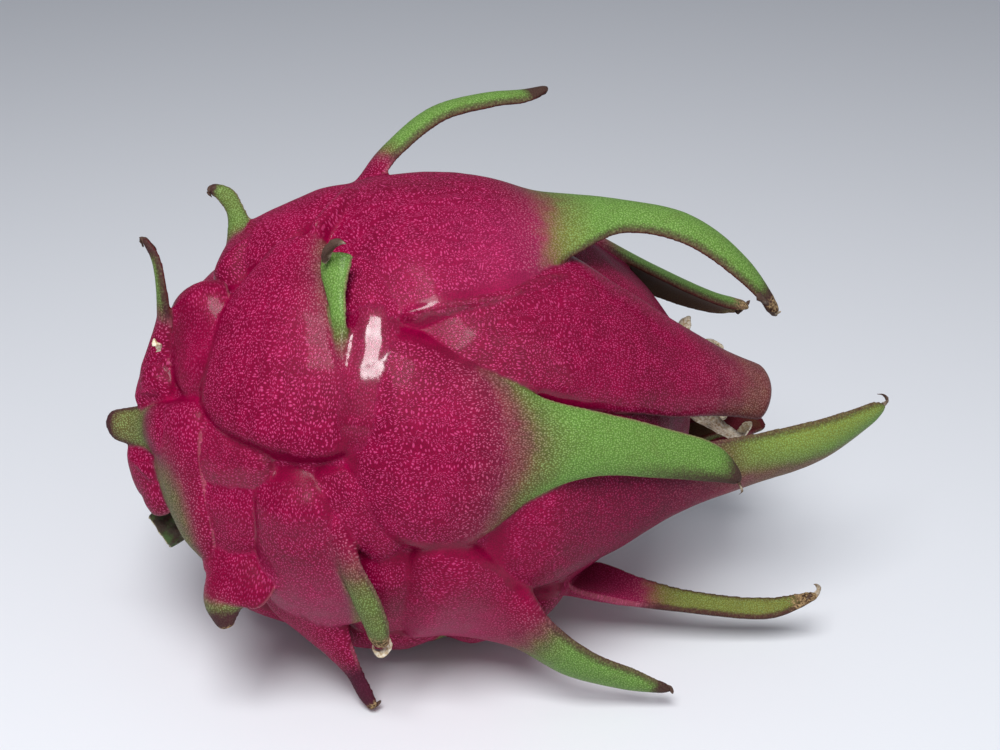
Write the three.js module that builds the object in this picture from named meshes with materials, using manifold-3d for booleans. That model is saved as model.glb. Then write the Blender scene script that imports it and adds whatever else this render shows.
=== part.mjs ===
// Dragon fruit lying on its side: rind with its leafy bracts, stem stub and dried flower.
// Millimetres, +Z up. The fruit's axis runs along X, from the stem end (-X) to the crown (+X).
import * as THREE from "three";
import { mergeVertices } from "three/addons/utils/BufferGeometryUtils.js";
import Module from "manifold-3d";

const wasm = await Module();
wasm.setup();

// Driving dimensions
const BODY_HALF_LENGTH = 55;
const BODY_RADIUS = 43;
const AXIS_HEIGHT = 45.5;
const CROWN_TAPER = 0.13;
const NODE_GAP = 0.3;

// Crown cup, where the flower sat
const CUP_MOUTH_X = 50;
const CUP_RADIUS = 8;
const CUP_DEPTH = 7;
const CUP_LIP = 1.6;

// Bracts: a pad that swells from the rind, then a blade that is thickest along its middle
const PAD_HEIGHT = 4.6;
const PAD_ROOT = 5;
const PAD_ROUNDNESS = 0.8;
const PAD_WEDGE = 0.9;
const BLADE_EDGE = 0.35;
const BLADE_RIB = 1.3;
const BLADE_RIB_FULL_WIDTH = 10;
const BLADE_UNDERSIDE_SHARE = 0.6;
const BLADE_ROUNDNESS = 0.8;
const BLADE_HOLLOW = 0.25;
const ROOT_ROUNDING = 0.75;
const TIP_ROUNDING = 0.25;
const TANGENT_STEP = 0.01;

// Mesh fineness
const BODY_SIDES = 32;
const BODY_ROWS = 18;
const STUB_SIDES = 16;
const PLUG_SIDES = 18;
const FRONT_GRID = { sides: 10, rows: 13 };
const PAD_GRID = { sides: 8, rows: 7 };
const FAR_GRID = { sides: 8, rows: 10 };
const STRIP_GRID = { sides: 8, rows: 8 };
const SIMPLIFY_TOLERANCE = 0.15;

// A station of a bract is [along the axis, degrees around it, distance out from it, half width on
// the left, half width on the right]. Degrees run from 0 at the front, over 90 at the top. RIND
// stands for a distance out that follows the rind.
const RIND = null;

const FRONT_BRACTS = [
  { name: "brow", dome: 5.8, wedge: 1.1, roundness: 0.45, stations: [
    [-21.5, 72, RIND, 15, 18], [-6, 76, RIND, 24, 21], [10, 79, RIND, 22, 19],
    [24, 80, 42.5, 13, 11], [37, 80, 42, 6, 5], [50, 76, 39.5, 5.2, 4.6], [60, 67, 33.5, 4.2, 3.8],
    [67.5, 55, 26, 1.6, 1.6]] },
  { name: "heart", dome: 4.8, roundness: 0.6, stations: [
    [-20, 21, RIND, 13, 12], [-10, 21, RIND, 20, 18.5], [2, 20, RIND, 14, 19],
    [13, 18, 44.6, 8.6, 10.2], [24, 15, 43.2, 6.8, 5], [37, 9.5, 39.5, 5.4, 4],
    [48, 2.5, 36.5, 4.2, 2.8], [54.5, -5, 35, 1.2, 1]] },
  { name: "shoulder", dome: 3.2, wedge: 1.4, roundness: 0.6, stations: [
    [-8, 49, RIND, 6, 4], [5, 46, RIND, 17, 9], [20, 47, RIND, 18, 15], [34, 44, 34, 12.5, 13.5],
    [46, 38, 26.5, 9, 11], [57, 29, 20, 6.6, 7.6], [67, 16, 16.5, 5.5, 6]] },
  { name: "prow", dome: 3.4, wedge: 1.2, stations: [
    [4, -8, RIND, 8, 10], [14, -8, RIND, 15, 15], [27, -8, 39, 13, 12], [42, -5, 35, 8.5, 8],
    [58, -6, 30, 6.3, 6], [75, -7, 25, 5.2, 5], [91, -1, 18, 2, 2]] },
  { name: "hood", dome: 3.6, stations: [
    [8, 124, RIND, 10, 10], [21, 122, RIND, 13, 12], [33, 118, 33, 10, 10], [44, 121, 26.5, 8.5, 9],
    [55, 129, 21, 8, 8], [65, 137, 17, 6, 6], [72, 140, 15.5, 2.5, 2.5]] },
  { name: "crest", roundness: 0.55, stations: [
    [-37, 90, RIND, 9, 7], [-27, 94, RIND, 11, 10], [-16, 100, RIND, 6, 7], [-9, 106, 45, 3.8, 3.8],
    [-3, 111, 51, 3.4, 3.4], [7, 114, 58, 3.8, 3.8], [18, 116, 60.5, 3.6, 3.6], [26, 117, 61, 3, 3],
    [32, 118, 62.5, 0.8, 0.8]] },
  { name: "cheek", wedge: 0.35, roundness: 0.5, stations: [
    [-33.3, 20, RIND, 12, 12], [-31, 32, RIND, 15, 16], [-29.3, 43, RIND, 15, 15.5],
    [-27.8, 54.5, RIND, 13.5, 13], [-26, 64, RIND, 11.5, 10.5], [-23.8, 73, RIND, 8, 7.5],
    [-22.4, 80.5, RIND, 4.5, 4.5]] },
  { name: "cheek_blade", dome: 4.2, wedge: 1.4, rib: 0.8, lean: [0, 6, 14, 18, 18, 12], stations: [
    [-18.6, 29.5, RIND, 0.7, 0.7], [-17.8, 39, RIND, 1.1, 1], [-18.5, 48.8, 44.7, 1.7, 1.3],
    [-18.5, 56, 46.2, 2.4, 1.8], [-18.4, 61, 47.7, 3.2, 2.9], [-18, 64, 49.3, 2.6, 3.3]] },
  { name: "jowl", roundness: 0.6, stations: [
    [-28.8, 17, RIND, 4, 7], [-28.4, 5, RIND, 7, 7.5], [-27.9, -8, RIND, 9, 8.5],
    [-26.3, -21, RIND, 10.5, 11], [-23.5, -37, RIND, 9, 9]] },
  { name: "jowl_blade", dome: 3.6, wedge: 1.3, lean: [0, -4, -9, -10, -6, 0], stations: [
    [-23.7, 11, RIND, 1, 1.2], [-21.5, 2, RIND, 1.5, 1.8], [-20.5, -6.6, 44.2, 2, 2.4],
    [-18.4, -14.8, 46.1, 2.6, 2.9], [-16.6, -22.1, 48.1, 2.4, 2.7], [-15.5, -30, 49.4, 1.6, 1.8]] },
  { name: "heel", stations: [
    [-33, -24, RIND, 8, 8], [-28, -35, RIND, 8, 8.5], [-23, -43, 45.5, 4, 4.5],
    [-20, -48, 50, 2.2, 2.4], [-18, -50.5, 54.5, 1.9, 1.9], [-16.5, -51, 57, 1.1, 1.1]] },
  { name: "spur", dome: 3, stations: [
    [-38.9, -8, RIND, 6, 6], [-40, -15, RIND, 8, 7], [-41, -20, 34.8, 9, 6],
    [-43, -25, 38, 5.5, 4.5], [-43, -28, 40.3, 3, 3], [-42.5, -30, 42, 1.5, 1.5]] },
  { name: "collar", stations: [
    [-45.5, 44, RIND, 7, 7], [-48, 31, 25, 6.5, 8.5], [-48.5, 10, 24, 6.5, 8.5],
    [-46.5, -11, 27.5, 5, 6], [-44.3, -22, 30.5, 1.8, 2]] },
  { name: "fin", stations: [
    [-42, 30, RIND, 8, 5], [-48, 34, RIND, 8, 4], [-54, 40, 14.5, 5.5, 3], [-61, 47, 10, 2.8, 2.4]] },
  { name: "horn", stations: [
    [-48.9, 43, RIND, 3, 3.5], [-49.3, 57, RIND, 3.5, 4], [-49, 68, RIND, 3.2, 3.6],
    [-48.4, 74, 29.5, 2.3, 2.5], [-48.2, 77, 35.5, 1.8, 1.8], [-48.7, 82, 39.5, 1.5, 1.5],
    [-50.4, 85, 42.5, 0.8, 0.8]] },
  { name: "ear", stations: [
    [-29, 82, RIND, 8, 6], [-31.5, 90, RIND, 8.5, 6.5], [-33, 98, 38, 3.4, 3.4],
    [-33.5, 105, 42, 1.9, 1.9], [-35, 109, 45, 1.8, 1.8], [-38, 110.5, 46.8, 0.9, 0.9]] },
  { name: "skid", roundness: 0.6, stations: [
    [-13, -18, RIND, 10, 13], [-4, -20, RIND, 12.5, 20], [6, -26, RIND, 6.5, 17],
    [14, -31.5, 49.5, 3.4, 9.4], [22, -37, 55, 3, 6.6], [31, -40.5, 59, 2.8, 3.4],
    [39, -41, 62, 0.9, 0.9]] },
  { name: "keel", lean: [0, 0, -12, -30, -48, -58, -58, -50], stations: [
    [2, -42, RIND, 9, 9], [13, -48, RIND, 12, 12], [22, -53, 38.6, 7, 9.5], [30, -52, 40.2, 4, 9.6],
    [38, -52, 42.7, 2.2, 5.4], [50, -51, 46.1, 1.5, 3.6], [64, -50, 48.9, 1.4, 3.4],
    [73.5, -44, 47, 1, 1.2]] },
  { name: "lining", stations: [
    [38, -100, RIND, 7, 7], [48, -103, 21, 7, 7], [58, -105, 17, 6.5, 6.5], [68, -106, 15, 5, 5],
    [75, -106, 15, 2, 2]] },
  { name: "lobe", stations: [
    [-51, 25, RIND, 6, 6], [-53, 5, RIND, 7, 7], [-53.5, -12, 16, 6, 6], [-52.5, -24, 19, 3, 3]] },
  { name: "button", stations: [
    [-49, 44, RIND, 4, 5], [-50.5, 56, RIND, 4, 5], [-50.5, 67, 21.5, 3.5, 4], [-50, 74, 22, 2, 2]] },
  { name: "stud", dome: 3, wedge: 1.3, lean: [0, 0, 0, -20, -26], stations: [
    [-42.4, 37, RIND, 4, 3.5], [-42, 50, RIND, 7, 5], [-41.8, 61, RIND, 8, 6],
    [-42, 71, 33.5, 7, 6], [-41.9, 79, 33.5, 6, 5.2]] },
];

// Low pads without a blade, which fill the rind between the bracts, given by the same stations
const PLAIN_PADS = [
  { name: "strip", dome: 4, stations: [
    [-18, 17, RIND, 5, 4], [-16, 28, RIND, 6, 4.5], [-14.2, 37, RIND, 6.5, 5],
    [-12.5, 46, RIND, 6.5, 5], [-12, 54, RIND, 5, 4]] },
  { name: "ribbon", dome: 2.4, wedge: 1.5, stations: [
    [-46.6, 40, RIND, 4.5, 4], [-43.5, 26, RIND, 6, 5], [-38.8, 17.5, RIND, 4.5, 5],
    [-31.6, 17, RIND, 3, 3]] },
  { name: "flap", dome: 3, wedge: 1.3, stations: [
    [-37.9, 21, RIND, 4.5, 6], [-38.4, 5, RIND, 5.5, 7.5], [-38.9, -7, RIND, 5.5, 6],
    [-39, -18, RIND, 4, 4]] },
  { name: "apron", dome: 2.6, stations: [
    [-12.9, -5, RIND, 4, 4], [-14, -16.4, RIND, 5, 5], [-15, -30, RIND, 6, 6],
    [-14, -44, RIND, 6, 6]] },
  { name: "saddle", dome: 3.6, wedge: 0.6, stations: [
    [-13, 72, RIND, 4.5, 6], [-12.8, 63, RIND, 5, 7], [-11.6, 55, RIND, 5, 7],
    [-9.5, 48, RIND, 4, 5]] },
  { name: "fold", dome: 5.9, wedge: 0.8, stations: [
    [-21, 75, RIND, 1.3, 1.5], [-18.2, 79.5, RIND, 1.9, 1.8], [-14.6, 85.4, RIND, 2.2, 2],
    [-10.8, 93.5, RIND, 2.4, 2.2]] },
  { name: "lip", dome: 3.7, wedge: 0.7, stations: [
    [-10.4, 49, RIND, 0.8, 1], [-5, 50.6, RIND, 1, 1.5], [1, 51.2, RIND, 1, 1.6],
    [9, 52.6, RIND, 1, 1.4], [17, 56.5, RIND, 0.8, 1], [23, 60.5, RIND, 0.6, 0.6]] },
  { name: "gutter", dome: 1.9, stations: [
    [-23.8, 17, RIND, 4, 4], [-21.3, 9, RIND, 6, 5], [-17.2, 1.3, RIND, 7, 5],
    [-11.6, -6, RIND, 5, 5]] },
];

// Bracts of the far side and underside: [along, degrees around, blade length, half width, rise]
const FAR_BRACTS = [
  [4, 156, 36, 18, 7], [-4, 199, 34, 18, 11], [8, 243, 30, 16, 3], [5, 277, 16, 18, 0],
  [24, 181, 36, 14, 3], [26, 223, 42, 14, 8], [30, 268, 34, 13, 3], [10, 302, 6, 12, 0],
  [-20, 134, 19, 16, 4], [-22, 177, 26, 17, 10], [-20, 222, 24, 17, 5], [-16, 258, 18, 15, 0],
  [-38, 162, 12, 11, 1], [-38, 203, 13, 14, 7], [-36, 246, 14, 14, 2], [-33, 284, 14, 14, 0],
  [-12, 301, 12, 13, 0], [-40, 176, 8, 10, 3], [34, 158, 19, 10, 0],
];
// Its pad as [offset along, share of the width], then its blade as [share of the length, of the width]
const FAR_PAD = [[-14, 0.65], [-5, 1], [4, 0.85]];
const FAR_BLADE_START = 4;
const FAR_TAPER = [[0.25, 0.5], [0.5, 0.34], [0.78, 0.24], [1, 0.07]];
const FAR_BLADE_CLEARANCE = 1.5;
const FAR_LEAST_OUT = 10;
const FAR_RISE_POWER = 1.3;
const FAR_SWERVE = 6;

// Stem stub, cut off short, on the underside of the stem end
const STUB_CENTRE = [-50.5, -54];
const STUB_RADIUS = 4;
const STUB_LENGTH = 8;
const STUB_SUNK = 4.5;

// Dried flower in the crown cup: [degrees around, reach, spread, half width] of each withered strip
const FLOWER_PLUG_RADIUS = 6.5;
const STRIP_CURLS = [-18, 22];
const FLOWER_STRIPS = [
  [-48, 19, 13, 3.4], [-12, 18, 11, 3], [30, 12, 8, 2.6], [92, 8, 12.5, 3],
  [160, 14, 8, 2.8], [222, 16, 9, 3], [272, 17, 11, 3.2],
];

const mix = THREE.MathUtils.lerp;

function rindRadius(along) {
  const share = THREE.MathUtils.clamp(along / BODY_HALF_LENGTH, -1, 1);
  const taper = 1 - CROWN_TAPER * Math.max(share, 0) ** 2;
  return BODY_RADIUS * taper * Math.sqrt(1 - share * share);
}

// A point given along the fruit's axis, in degrees around it and out from it
function place(along, around, out) {
  const angle = THREE.MathUtils.degToRad(around);
  return new THREE.Vector3(along, -out * Math.cos(angle), AXIS_HEIGHT + out * Math.sin(angle));
}

function rindNormal(along, around) {
  const angle = THREE.MathUtils.degToRad(around);
  const slope = along / BODY_HALF_LENGTH ** 2;
  const radial = Math.max(rindRadius(along), 1) / BODY_RADIUS ** 2;
  return new THREE.Vector3(slope, -radial * Math.cos(angle), radial * Math.sin(angle)).normalize();
}

function toSolid(geometry) {
  const bare = geometry.clone();
  bare.deleteAttribute("normal");
  bare.deleteAttribute("uv");
  const merged = mergeVertices(bare, 1e-4);
  return new wasm.Manifold(new wasm.Mesh({
    numProp: 3,
    vertProperties: new Float32Array(merged.attributes.position.array),
    triVerts: new Uint32Array(merged.index.array),
  }));
}

function toGeometry(solid) {
  const mesh = solid.getMesh();
  const geometry = new THREE.BufferGeometry();
  geometry.setAttribute("position", new THREE.BufferAttribute(mesh.vertProperties, 3));
  geometry.setIndex(new THREE.BufferAttribute(mesh.triVerts, 1));
  geometry.computeVertexNormals();
  return geometry;
}

function smoothThrough(vectors) {
  return new THREE.CatmullRomCurve3(vectors, false, "catmullrom", 0.5);
}

// Normals at a bract's stations: the rind's own where it lies on the rind, carried on along the
// blade, then leaned over by the given degrees
function stationNormals(points, stations, lean = []) {
  let carried = null;
  return stations.map(([along, around, out], i) => {
    const before = points[Math.max(i - 1, 0)];
    const after = points[Math.min(i + 1, points.length - 1)];
    const tangent = after.clone().sub(before).normalize();
    if (out === RIND || carried === null) {
      carried = rindNormal(along, around);
    }
    carried = carried.projectOnPlane(tangent).normalize();
    return carried.clone().applyAxisAngle(tangent, -THREE.MathUtils.degToRad(lean[i] ?? 0));
  });
}

// One bract: a sphere's grid of rows and columns, pulled along the spine through the stations
function bractGeometry(bract, { sides, rows }) {
  const { stations, lean, dome = PAD_HEIGHT, wedge = PAD_WEDGE } = bract;
  const points = stations.map(([along, around, out]) => place(along, around, out ?? rindRadius(along)));
  const spine = smoothThrough(points);
  const normals = smoothThrough(stationNormals(points, stations, lean));
  const widths = smoothThrough(
    stations.map(([, , out, left, right]) => new THREE.Vector3(left, right, out === RIND ? 1 : 0)));
  const last = stations.length - 1;
  const geometry = new THREE.SphereGeometry(1, sides, rows);
  const position = geometry.attributes.position;
  for (let row = 0; row <= rows; row += 1) {
    const even = row / rows;
    const t = even - 0.5 * Math.sin(2 * Math.PI * even) / (2 * Math.PI);
    const rootRise = Math.min(t * last / ROOT_ROUNDING, 1);
    const tipFall = Math.max((t - 1) * last / TIP_ROUNDING + 1, 0);
    const fade = Math.sqrt(1 - (1 - rootRise) ** 2) * Math.sqrt(Math.max(1 - tipFall ** 2, 0));
    const centre = spine.getPoint(t);
    const tangent = spine.getPoint(Math.min(t + TANGENT_STEP, 1));
    tangent.sub(spine.getPoint(Math.max(t - TANGENT_STEP, 0))).normalize();
    const normal = normals.getPoint(t).projectOnPlane(tangent).normalize();
    const side = normal.clone().cross(tangent);
    const width = widths.getPoint(t);
    const left = Math.max(width.x, 0.05) * fade;
    const right = Math.max(width.y, 0.05) * fade;
    const onRind = THREE.MathUtils.clamp(width.z, 0, 1);
    const broad = Math.max(left, right, 0.1);
    const rib = (bract.rib ?? BLADE_RIB) * Math.min((left + right) / BLADE_RIB_FULL_WIDTH, 1);
    const height = dome * Math.min(t * last / wedge, 1) ** 0.7;
    const above = mix(BLADE_EDGE + rib, height, onRind) * fade;
    const below = mix(BLADE_EDGE + rib * BLADE_UNDERSIDE_SHARE, PAD_ROOT, onRind) * fade;
    const hollow = mix(BLADE_HOLLOW / broad, 1 / (2.1 * BODY_RADIUS), onRind);
    const roundness = mix(BLADE_ROUNDNESS, bract.roundness ?? PAD_ROUNDNESS, onRind);
    for (let column = 0; column <= sides; column += 1) {
      const turn = -2 * Math.PI * (column % sides) / sides;
      const share = Math.sign(Math.cos(turn)) * Math.abs(Math.cos(turn)) ** 0.9;
      const across = share > 0 ? share * left : share * right;
      const swell = Math.abs(Math.sin(turn)) ** roundness;
      const lift = Math.sin(turn) > 0 ? above * swell : -below * swell;
      const point = centre.clone().addScaledVector(side, across);
      point.addScaledVector(normal, lift - hollow * across * across);
      position.setXYZ(row * (sides + 1) + column, point.x, point.y, point.z);
    }
  }
  return geometry;
}

// Stations of a far bract: three on the rind, then its blade tapering to the tip
function farStations([along, around, length, halfWidth, rise], index) {
  const pad = FAR_PAD.map(([offset, share]) => [
    along + offset, around, RIND, halfWidth * share, halfWidth * share]);
  const swerve = index % 2 ? FAR_SWERVE : -FAR_SWERVE;
  const blade = FAR_TAPER.map(([t, share]) => {
    const x = along + FAR_BLADE_START + length * t;
    const under = Math.max(rindRadius(Math.min(x, BODY_HALF_LENGTH - 1)), FAR_LEAST_OUT);
    const out = under + FAR_BLADE_CLEARANCE + rise * t ** FAR_RISE_POWER;
    return [x, around + swerve * t, out, halfWidth * share, halfWidth * share];
  });
  return [...pad, ...blade];
}

// The rind, with the cup at its crown
function rindGeometry() {
  const profile = [new THREE.Vector2(0, -BODY_HALF_LENGTH)];
  const cupAngle = Math.acos(-CUP_MOUTH_X / BODY_HALF_LENGTH);
  for (let i = 1; i <= BODY_ROWS; i += 1) {
    const along = -BODY_HALF_LENGTH * Math.cos(cupAngle * i / BODY_ROWS);
    profile.push(new THREE.Vector2(rindRadius(along), along));
  }
  profile.push(
    new THREE.Vector2(CUP_RADIUS + 6.5, CUP_MOUTH_X + CUP_LIP - 0.5),
    new THREE.Vector2(CUP_RADIUS + 4.5, CUP_MOUTH_X + CUP_LIP),
    new THREE.Vector2(CUP_RADIUS + 2, CUP_MOUTH_X + CUP_LIP),
    new THREE.Vector2(CUP_RADIUS, CUP_MOUTH_X),
    new THREE.Vector2(CUP_RADIUS - 0.5, CUP_MOUTH_X - CUP_DEPTH + 1.5),
    new THREE.Vector2(CUP_RADIUS - 2.5, CUP_MOUTH_X - CUP_DEPTH),
    new THREE.Vector2(0, CUP_MOUTH_X - CUP_DEPTH),
  );
  const geometry = new THREE.LatheGeometry(profile, BODY_SIDES);
  geometry.rotateZ(-Math.PI / 2);
  geometry.translate(0, 0, AXIS_HEIGHT);
  return geometry;
}

// The stub, or with some clearance the socket that it stands in
function stubGeometry(clearance) {
  const radius = STUB_RADIUS + clearance;
  const length = STUB_LENGTH + clearance;
  const geometry = new THREE.CylinderGeometry(radius * 0.92, radius, length, STUB_SIDES);
  const [along, around] = STUB_CENTRE;
  const out = rindNormal(along, around);
  geometry.translate(0, length / 2 - STUB_SUNK - clearance, 0);
  geometry.applyQuaternion(new THREE.Quaternion().setFromUnitVectors(new THREE.Vector3(0, 1, 0), out));
  const centre = place(along, around, rindRadius(along));
  geometry.translate(centre.x, centre.y, centre.z);
  return geometry;
}

function flowerSolid() {
  const floor = CUP_MOUTH_X - CUP_DEPTH + NODE_GAP;
  const plug = new THREE.LatheGeometry([
    new THREE.Vector2(0, floor),
    new THREE.Vector2(FLOWER_PLUG_RADIUS - 2, floor),
    new THREE.Vector2(FLOWER_PLUG_RADIUS, floor + 2),
    new THREE.Vector2(FLOWER_PLUG_RADIUS - 0.5, CUP_MOUTH_X + 1),
    new THREE.Vector2(FLOWER_PLUG_RADIUS - 3, CUP_MOUTH_X + 2.5),
    new THREE.Vector2(0, CUP_MOUTH_X + 3),
  ], PLUG_SIDES);
  plug.rotateZ(-Math.PI / 2);
  plug.translate(0, 0, AXIS_HEIGHT);
  const strips = FLOWER_STRIPS.map(([around, reach, spread, width], i) => {
    const curl = STRIP_CURLS[i % 2];
    const stations = [
      [floor + 3, around, 2, width * 0.7, width * 0.7],
      [CUP_MOUTH_X + 1, around, 3.6, width, width],
      [CUP_MOUTH_X + reach * 0.5, around + curl * 0.4, spread * 0.75, width * 0.9, width * 0.9],
      [CUP_MOUTH_X + reach * 0.8, around + curl, spread, width * 0.7, width * 0.7],
      [CUP_MOUTH_X + reach, around + curl * 1.6, spread * 0.8, width * 0.3, width * 0.3],
    ];
    return toSolid(bractGeometry({ stations }, STRIP_GRID));
  });
  return wasm.Manifold.union([toSolid(plug), ...strips]).simplify(SIMPLIFY_TOLERANCE);
}

function fruitSolid() {
  const front = FRONT_BRACTS.map((bract) => toSolid(bractGeometry(bract, FRONT_GRID)));
  const plain = PLAIN_PADS.map((pad) => toSolid(bractGeometry(pad, PAD_GRID)));
  const far = FAR_BRACTS.map((bract, i) => {
    const stations = farStations(bract, i);
    return toSolid(bractGeometry({ stations }, FAR_GRID));
  });
  const grown = wasm.Manifold.union([toSolid(rindGeometry()), ...front, ...plain, ...far]);
  const shells = grown.simplify(SIMPLIFY_TOLERANCE).decompose();
  const outside = shells.reduce((best, shell) => (shell.volume() > best.volume() ? shell : best));
  return outside.subtract(toSolid(stubGeometry(NODE_GAP))).trimByPlane([0, 0, 1], 0);
}

function part(name, solid, colour, roughness) {
  const material = new THREE.MeshStandardMaterial({ color: colour, roughness, metalness: 0 });
  const mesh = new THREE.Mesh(toGeometry(solid), material);
  mesh.name = name;
  return mesh;
}

const fruit = new THREE.Group();
fruit.add(part("fruit", fruitSolid(), 0xb01c50, 0.45));
fruit.add(part("stem_stub", toSolid(stubGeometry(0)), 0x6f7a3c, 0.8));
fruit.add(part("dried_flower", flowerSolid(), 0xd9c9a4, 0.85));

export default fruit;
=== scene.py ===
"""Dragon fruit lying on its side: its skin, stem stub, dried flower and withered bract tips.

The fruit's axis runs along X, from the stem end (-X) to the crown (+X), and +Z is up. The tables
of bracts are in millimetres and degrees; meshes are made in metres.
"""
import math

import bmesh
import bpy
import numpy as np
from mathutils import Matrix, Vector, noise
from mathutils.bvhtree import BVHTree


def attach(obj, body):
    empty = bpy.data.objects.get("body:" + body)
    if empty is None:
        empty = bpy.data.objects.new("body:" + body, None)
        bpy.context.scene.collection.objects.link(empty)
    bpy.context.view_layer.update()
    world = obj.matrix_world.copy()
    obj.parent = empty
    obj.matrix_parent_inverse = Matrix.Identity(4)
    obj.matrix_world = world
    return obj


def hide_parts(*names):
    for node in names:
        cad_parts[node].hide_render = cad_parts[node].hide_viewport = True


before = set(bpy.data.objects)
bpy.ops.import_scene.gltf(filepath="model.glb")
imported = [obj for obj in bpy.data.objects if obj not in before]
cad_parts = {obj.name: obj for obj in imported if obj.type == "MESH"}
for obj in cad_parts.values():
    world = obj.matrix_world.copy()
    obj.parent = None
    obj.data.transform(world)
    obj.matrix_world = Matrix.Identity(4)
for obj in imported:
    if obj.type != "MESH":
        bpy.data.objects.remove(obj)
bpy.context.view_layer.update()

bl_info = {
    "name": "Dragon fruit",
    "version": (1, 0, 0),
    "blender": (4, 5, 0),
    "location": "3D View > Sidebar > Dragon fruit",
    "description": "Builds a dragon fruit with leafy bracts, and a plain stage for it",
    "category": "Add Mesh",
}

MM = 0.001

# Body of the fruit
BODY_HALF_LENGTH = 55
BODY_RADIUS = 43
AXIS_HEIGHT = 45.5
CROWN_TAPER = 0.13

# Crown cup, where the flower sat
CUP_MOUTH_X = 50
CUP_RADIUS = 8
CUP_DEPTH = 7
CUP_LIP = 1.6
NODE_GAP = 0.3

# Bracts: a pad that swells from the rind and sinks a root into it, then a blade
PAD_HEIGHT = 4.6
PAD_ROOT = 5
PAD_ROUNDNESS = 0.8
PAD_WEDGE = 0.9
WEDGE_POWER = 0.7
# A pad falls away to its sides as the rind does: by the distance across squared, over this many
# of the fruit's radii
PAD_FALL_RADII = 2.1
# A blade is thin at its edges, thicker along its middle, and a little hollow
BLADE_EDGE = 0.35
BLADE_RIB = 1.3
BLADE_RIB_FULL_WIDTH = 10
BLADE_UNDERSIDE_SHARE = 0.6
BLADE_ROUNDNESS = 0.8
BLADE_HOLLOW = 0.25
# Its ends are rounded over these counts of stations
ROOT_ROUNDING = 0.75
TIP_ROUNDING = 0.25
TANGENT_STEP = 0.01
SECTION_POWER = 0.9
LEAST_HALF_WIDTH = 0.05
LEAST_BREADTH = 0.1

# Fineness and smoothing of the meshes
BRACT_ROWS = 72
BRACT_SIDES = 44
ROW_GATHERING = 0.5
RIND_ROWS = 90
RIND_SIDES = 160
FRUIT_TRIANGLES = 196000
CREASE_READING_STEPS = 10
HUE_BLUR_STEPS = 2
STEP_WEIGHT = 0.5
FAIRING_ROUNDS = 5
FAIRING_RETURN = 0.52
PAD_SOFTENING = (0.1, 0.9)
WELD_DISTANCE = 1e-7

# Bumps of the surfaces, each [size, height, seed]
SEED_STEPS = (17.3, 5.1, 9.7)
SKIN_BUMPS = [[9, 0.3, 1], [3.2, 0.09, 2]]
BLADE_BUMP_SHARE = 0.35
DRY_WRINKLES = [[1.4, 0.16, 3]]
STUB_BUMPS = [[1.6, 0.22, 5], [0.7, 0.1, 6]]
FLOWER_CRUMPLES = [[3.4, 0.75, 11], [3.4, 0.75, 12], [3.4, 0.75, 13]]
FLOWER_CREASES = [[1.5, 0.8, 14]]
FLOWER_CREST = 0.3
FLOWER_CREASE_SHARE = 0.35
# How far past the cup's mouth the crumpling begins and is full
FLOWER_CRUMPLED_FROM = (0.5, 5)
TIP_BUMPS = [[0.9, 0.16, 21]]

# A station of a bract is [along the axis, degrees around it, distance out from it, half width on
# the left, half width on the right]. Degrees run from 0 at the front, over 90 at the top. RIND
# stands for a distance out that follows the rind. A name only says which bract a row is.
RIND = None

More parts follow.
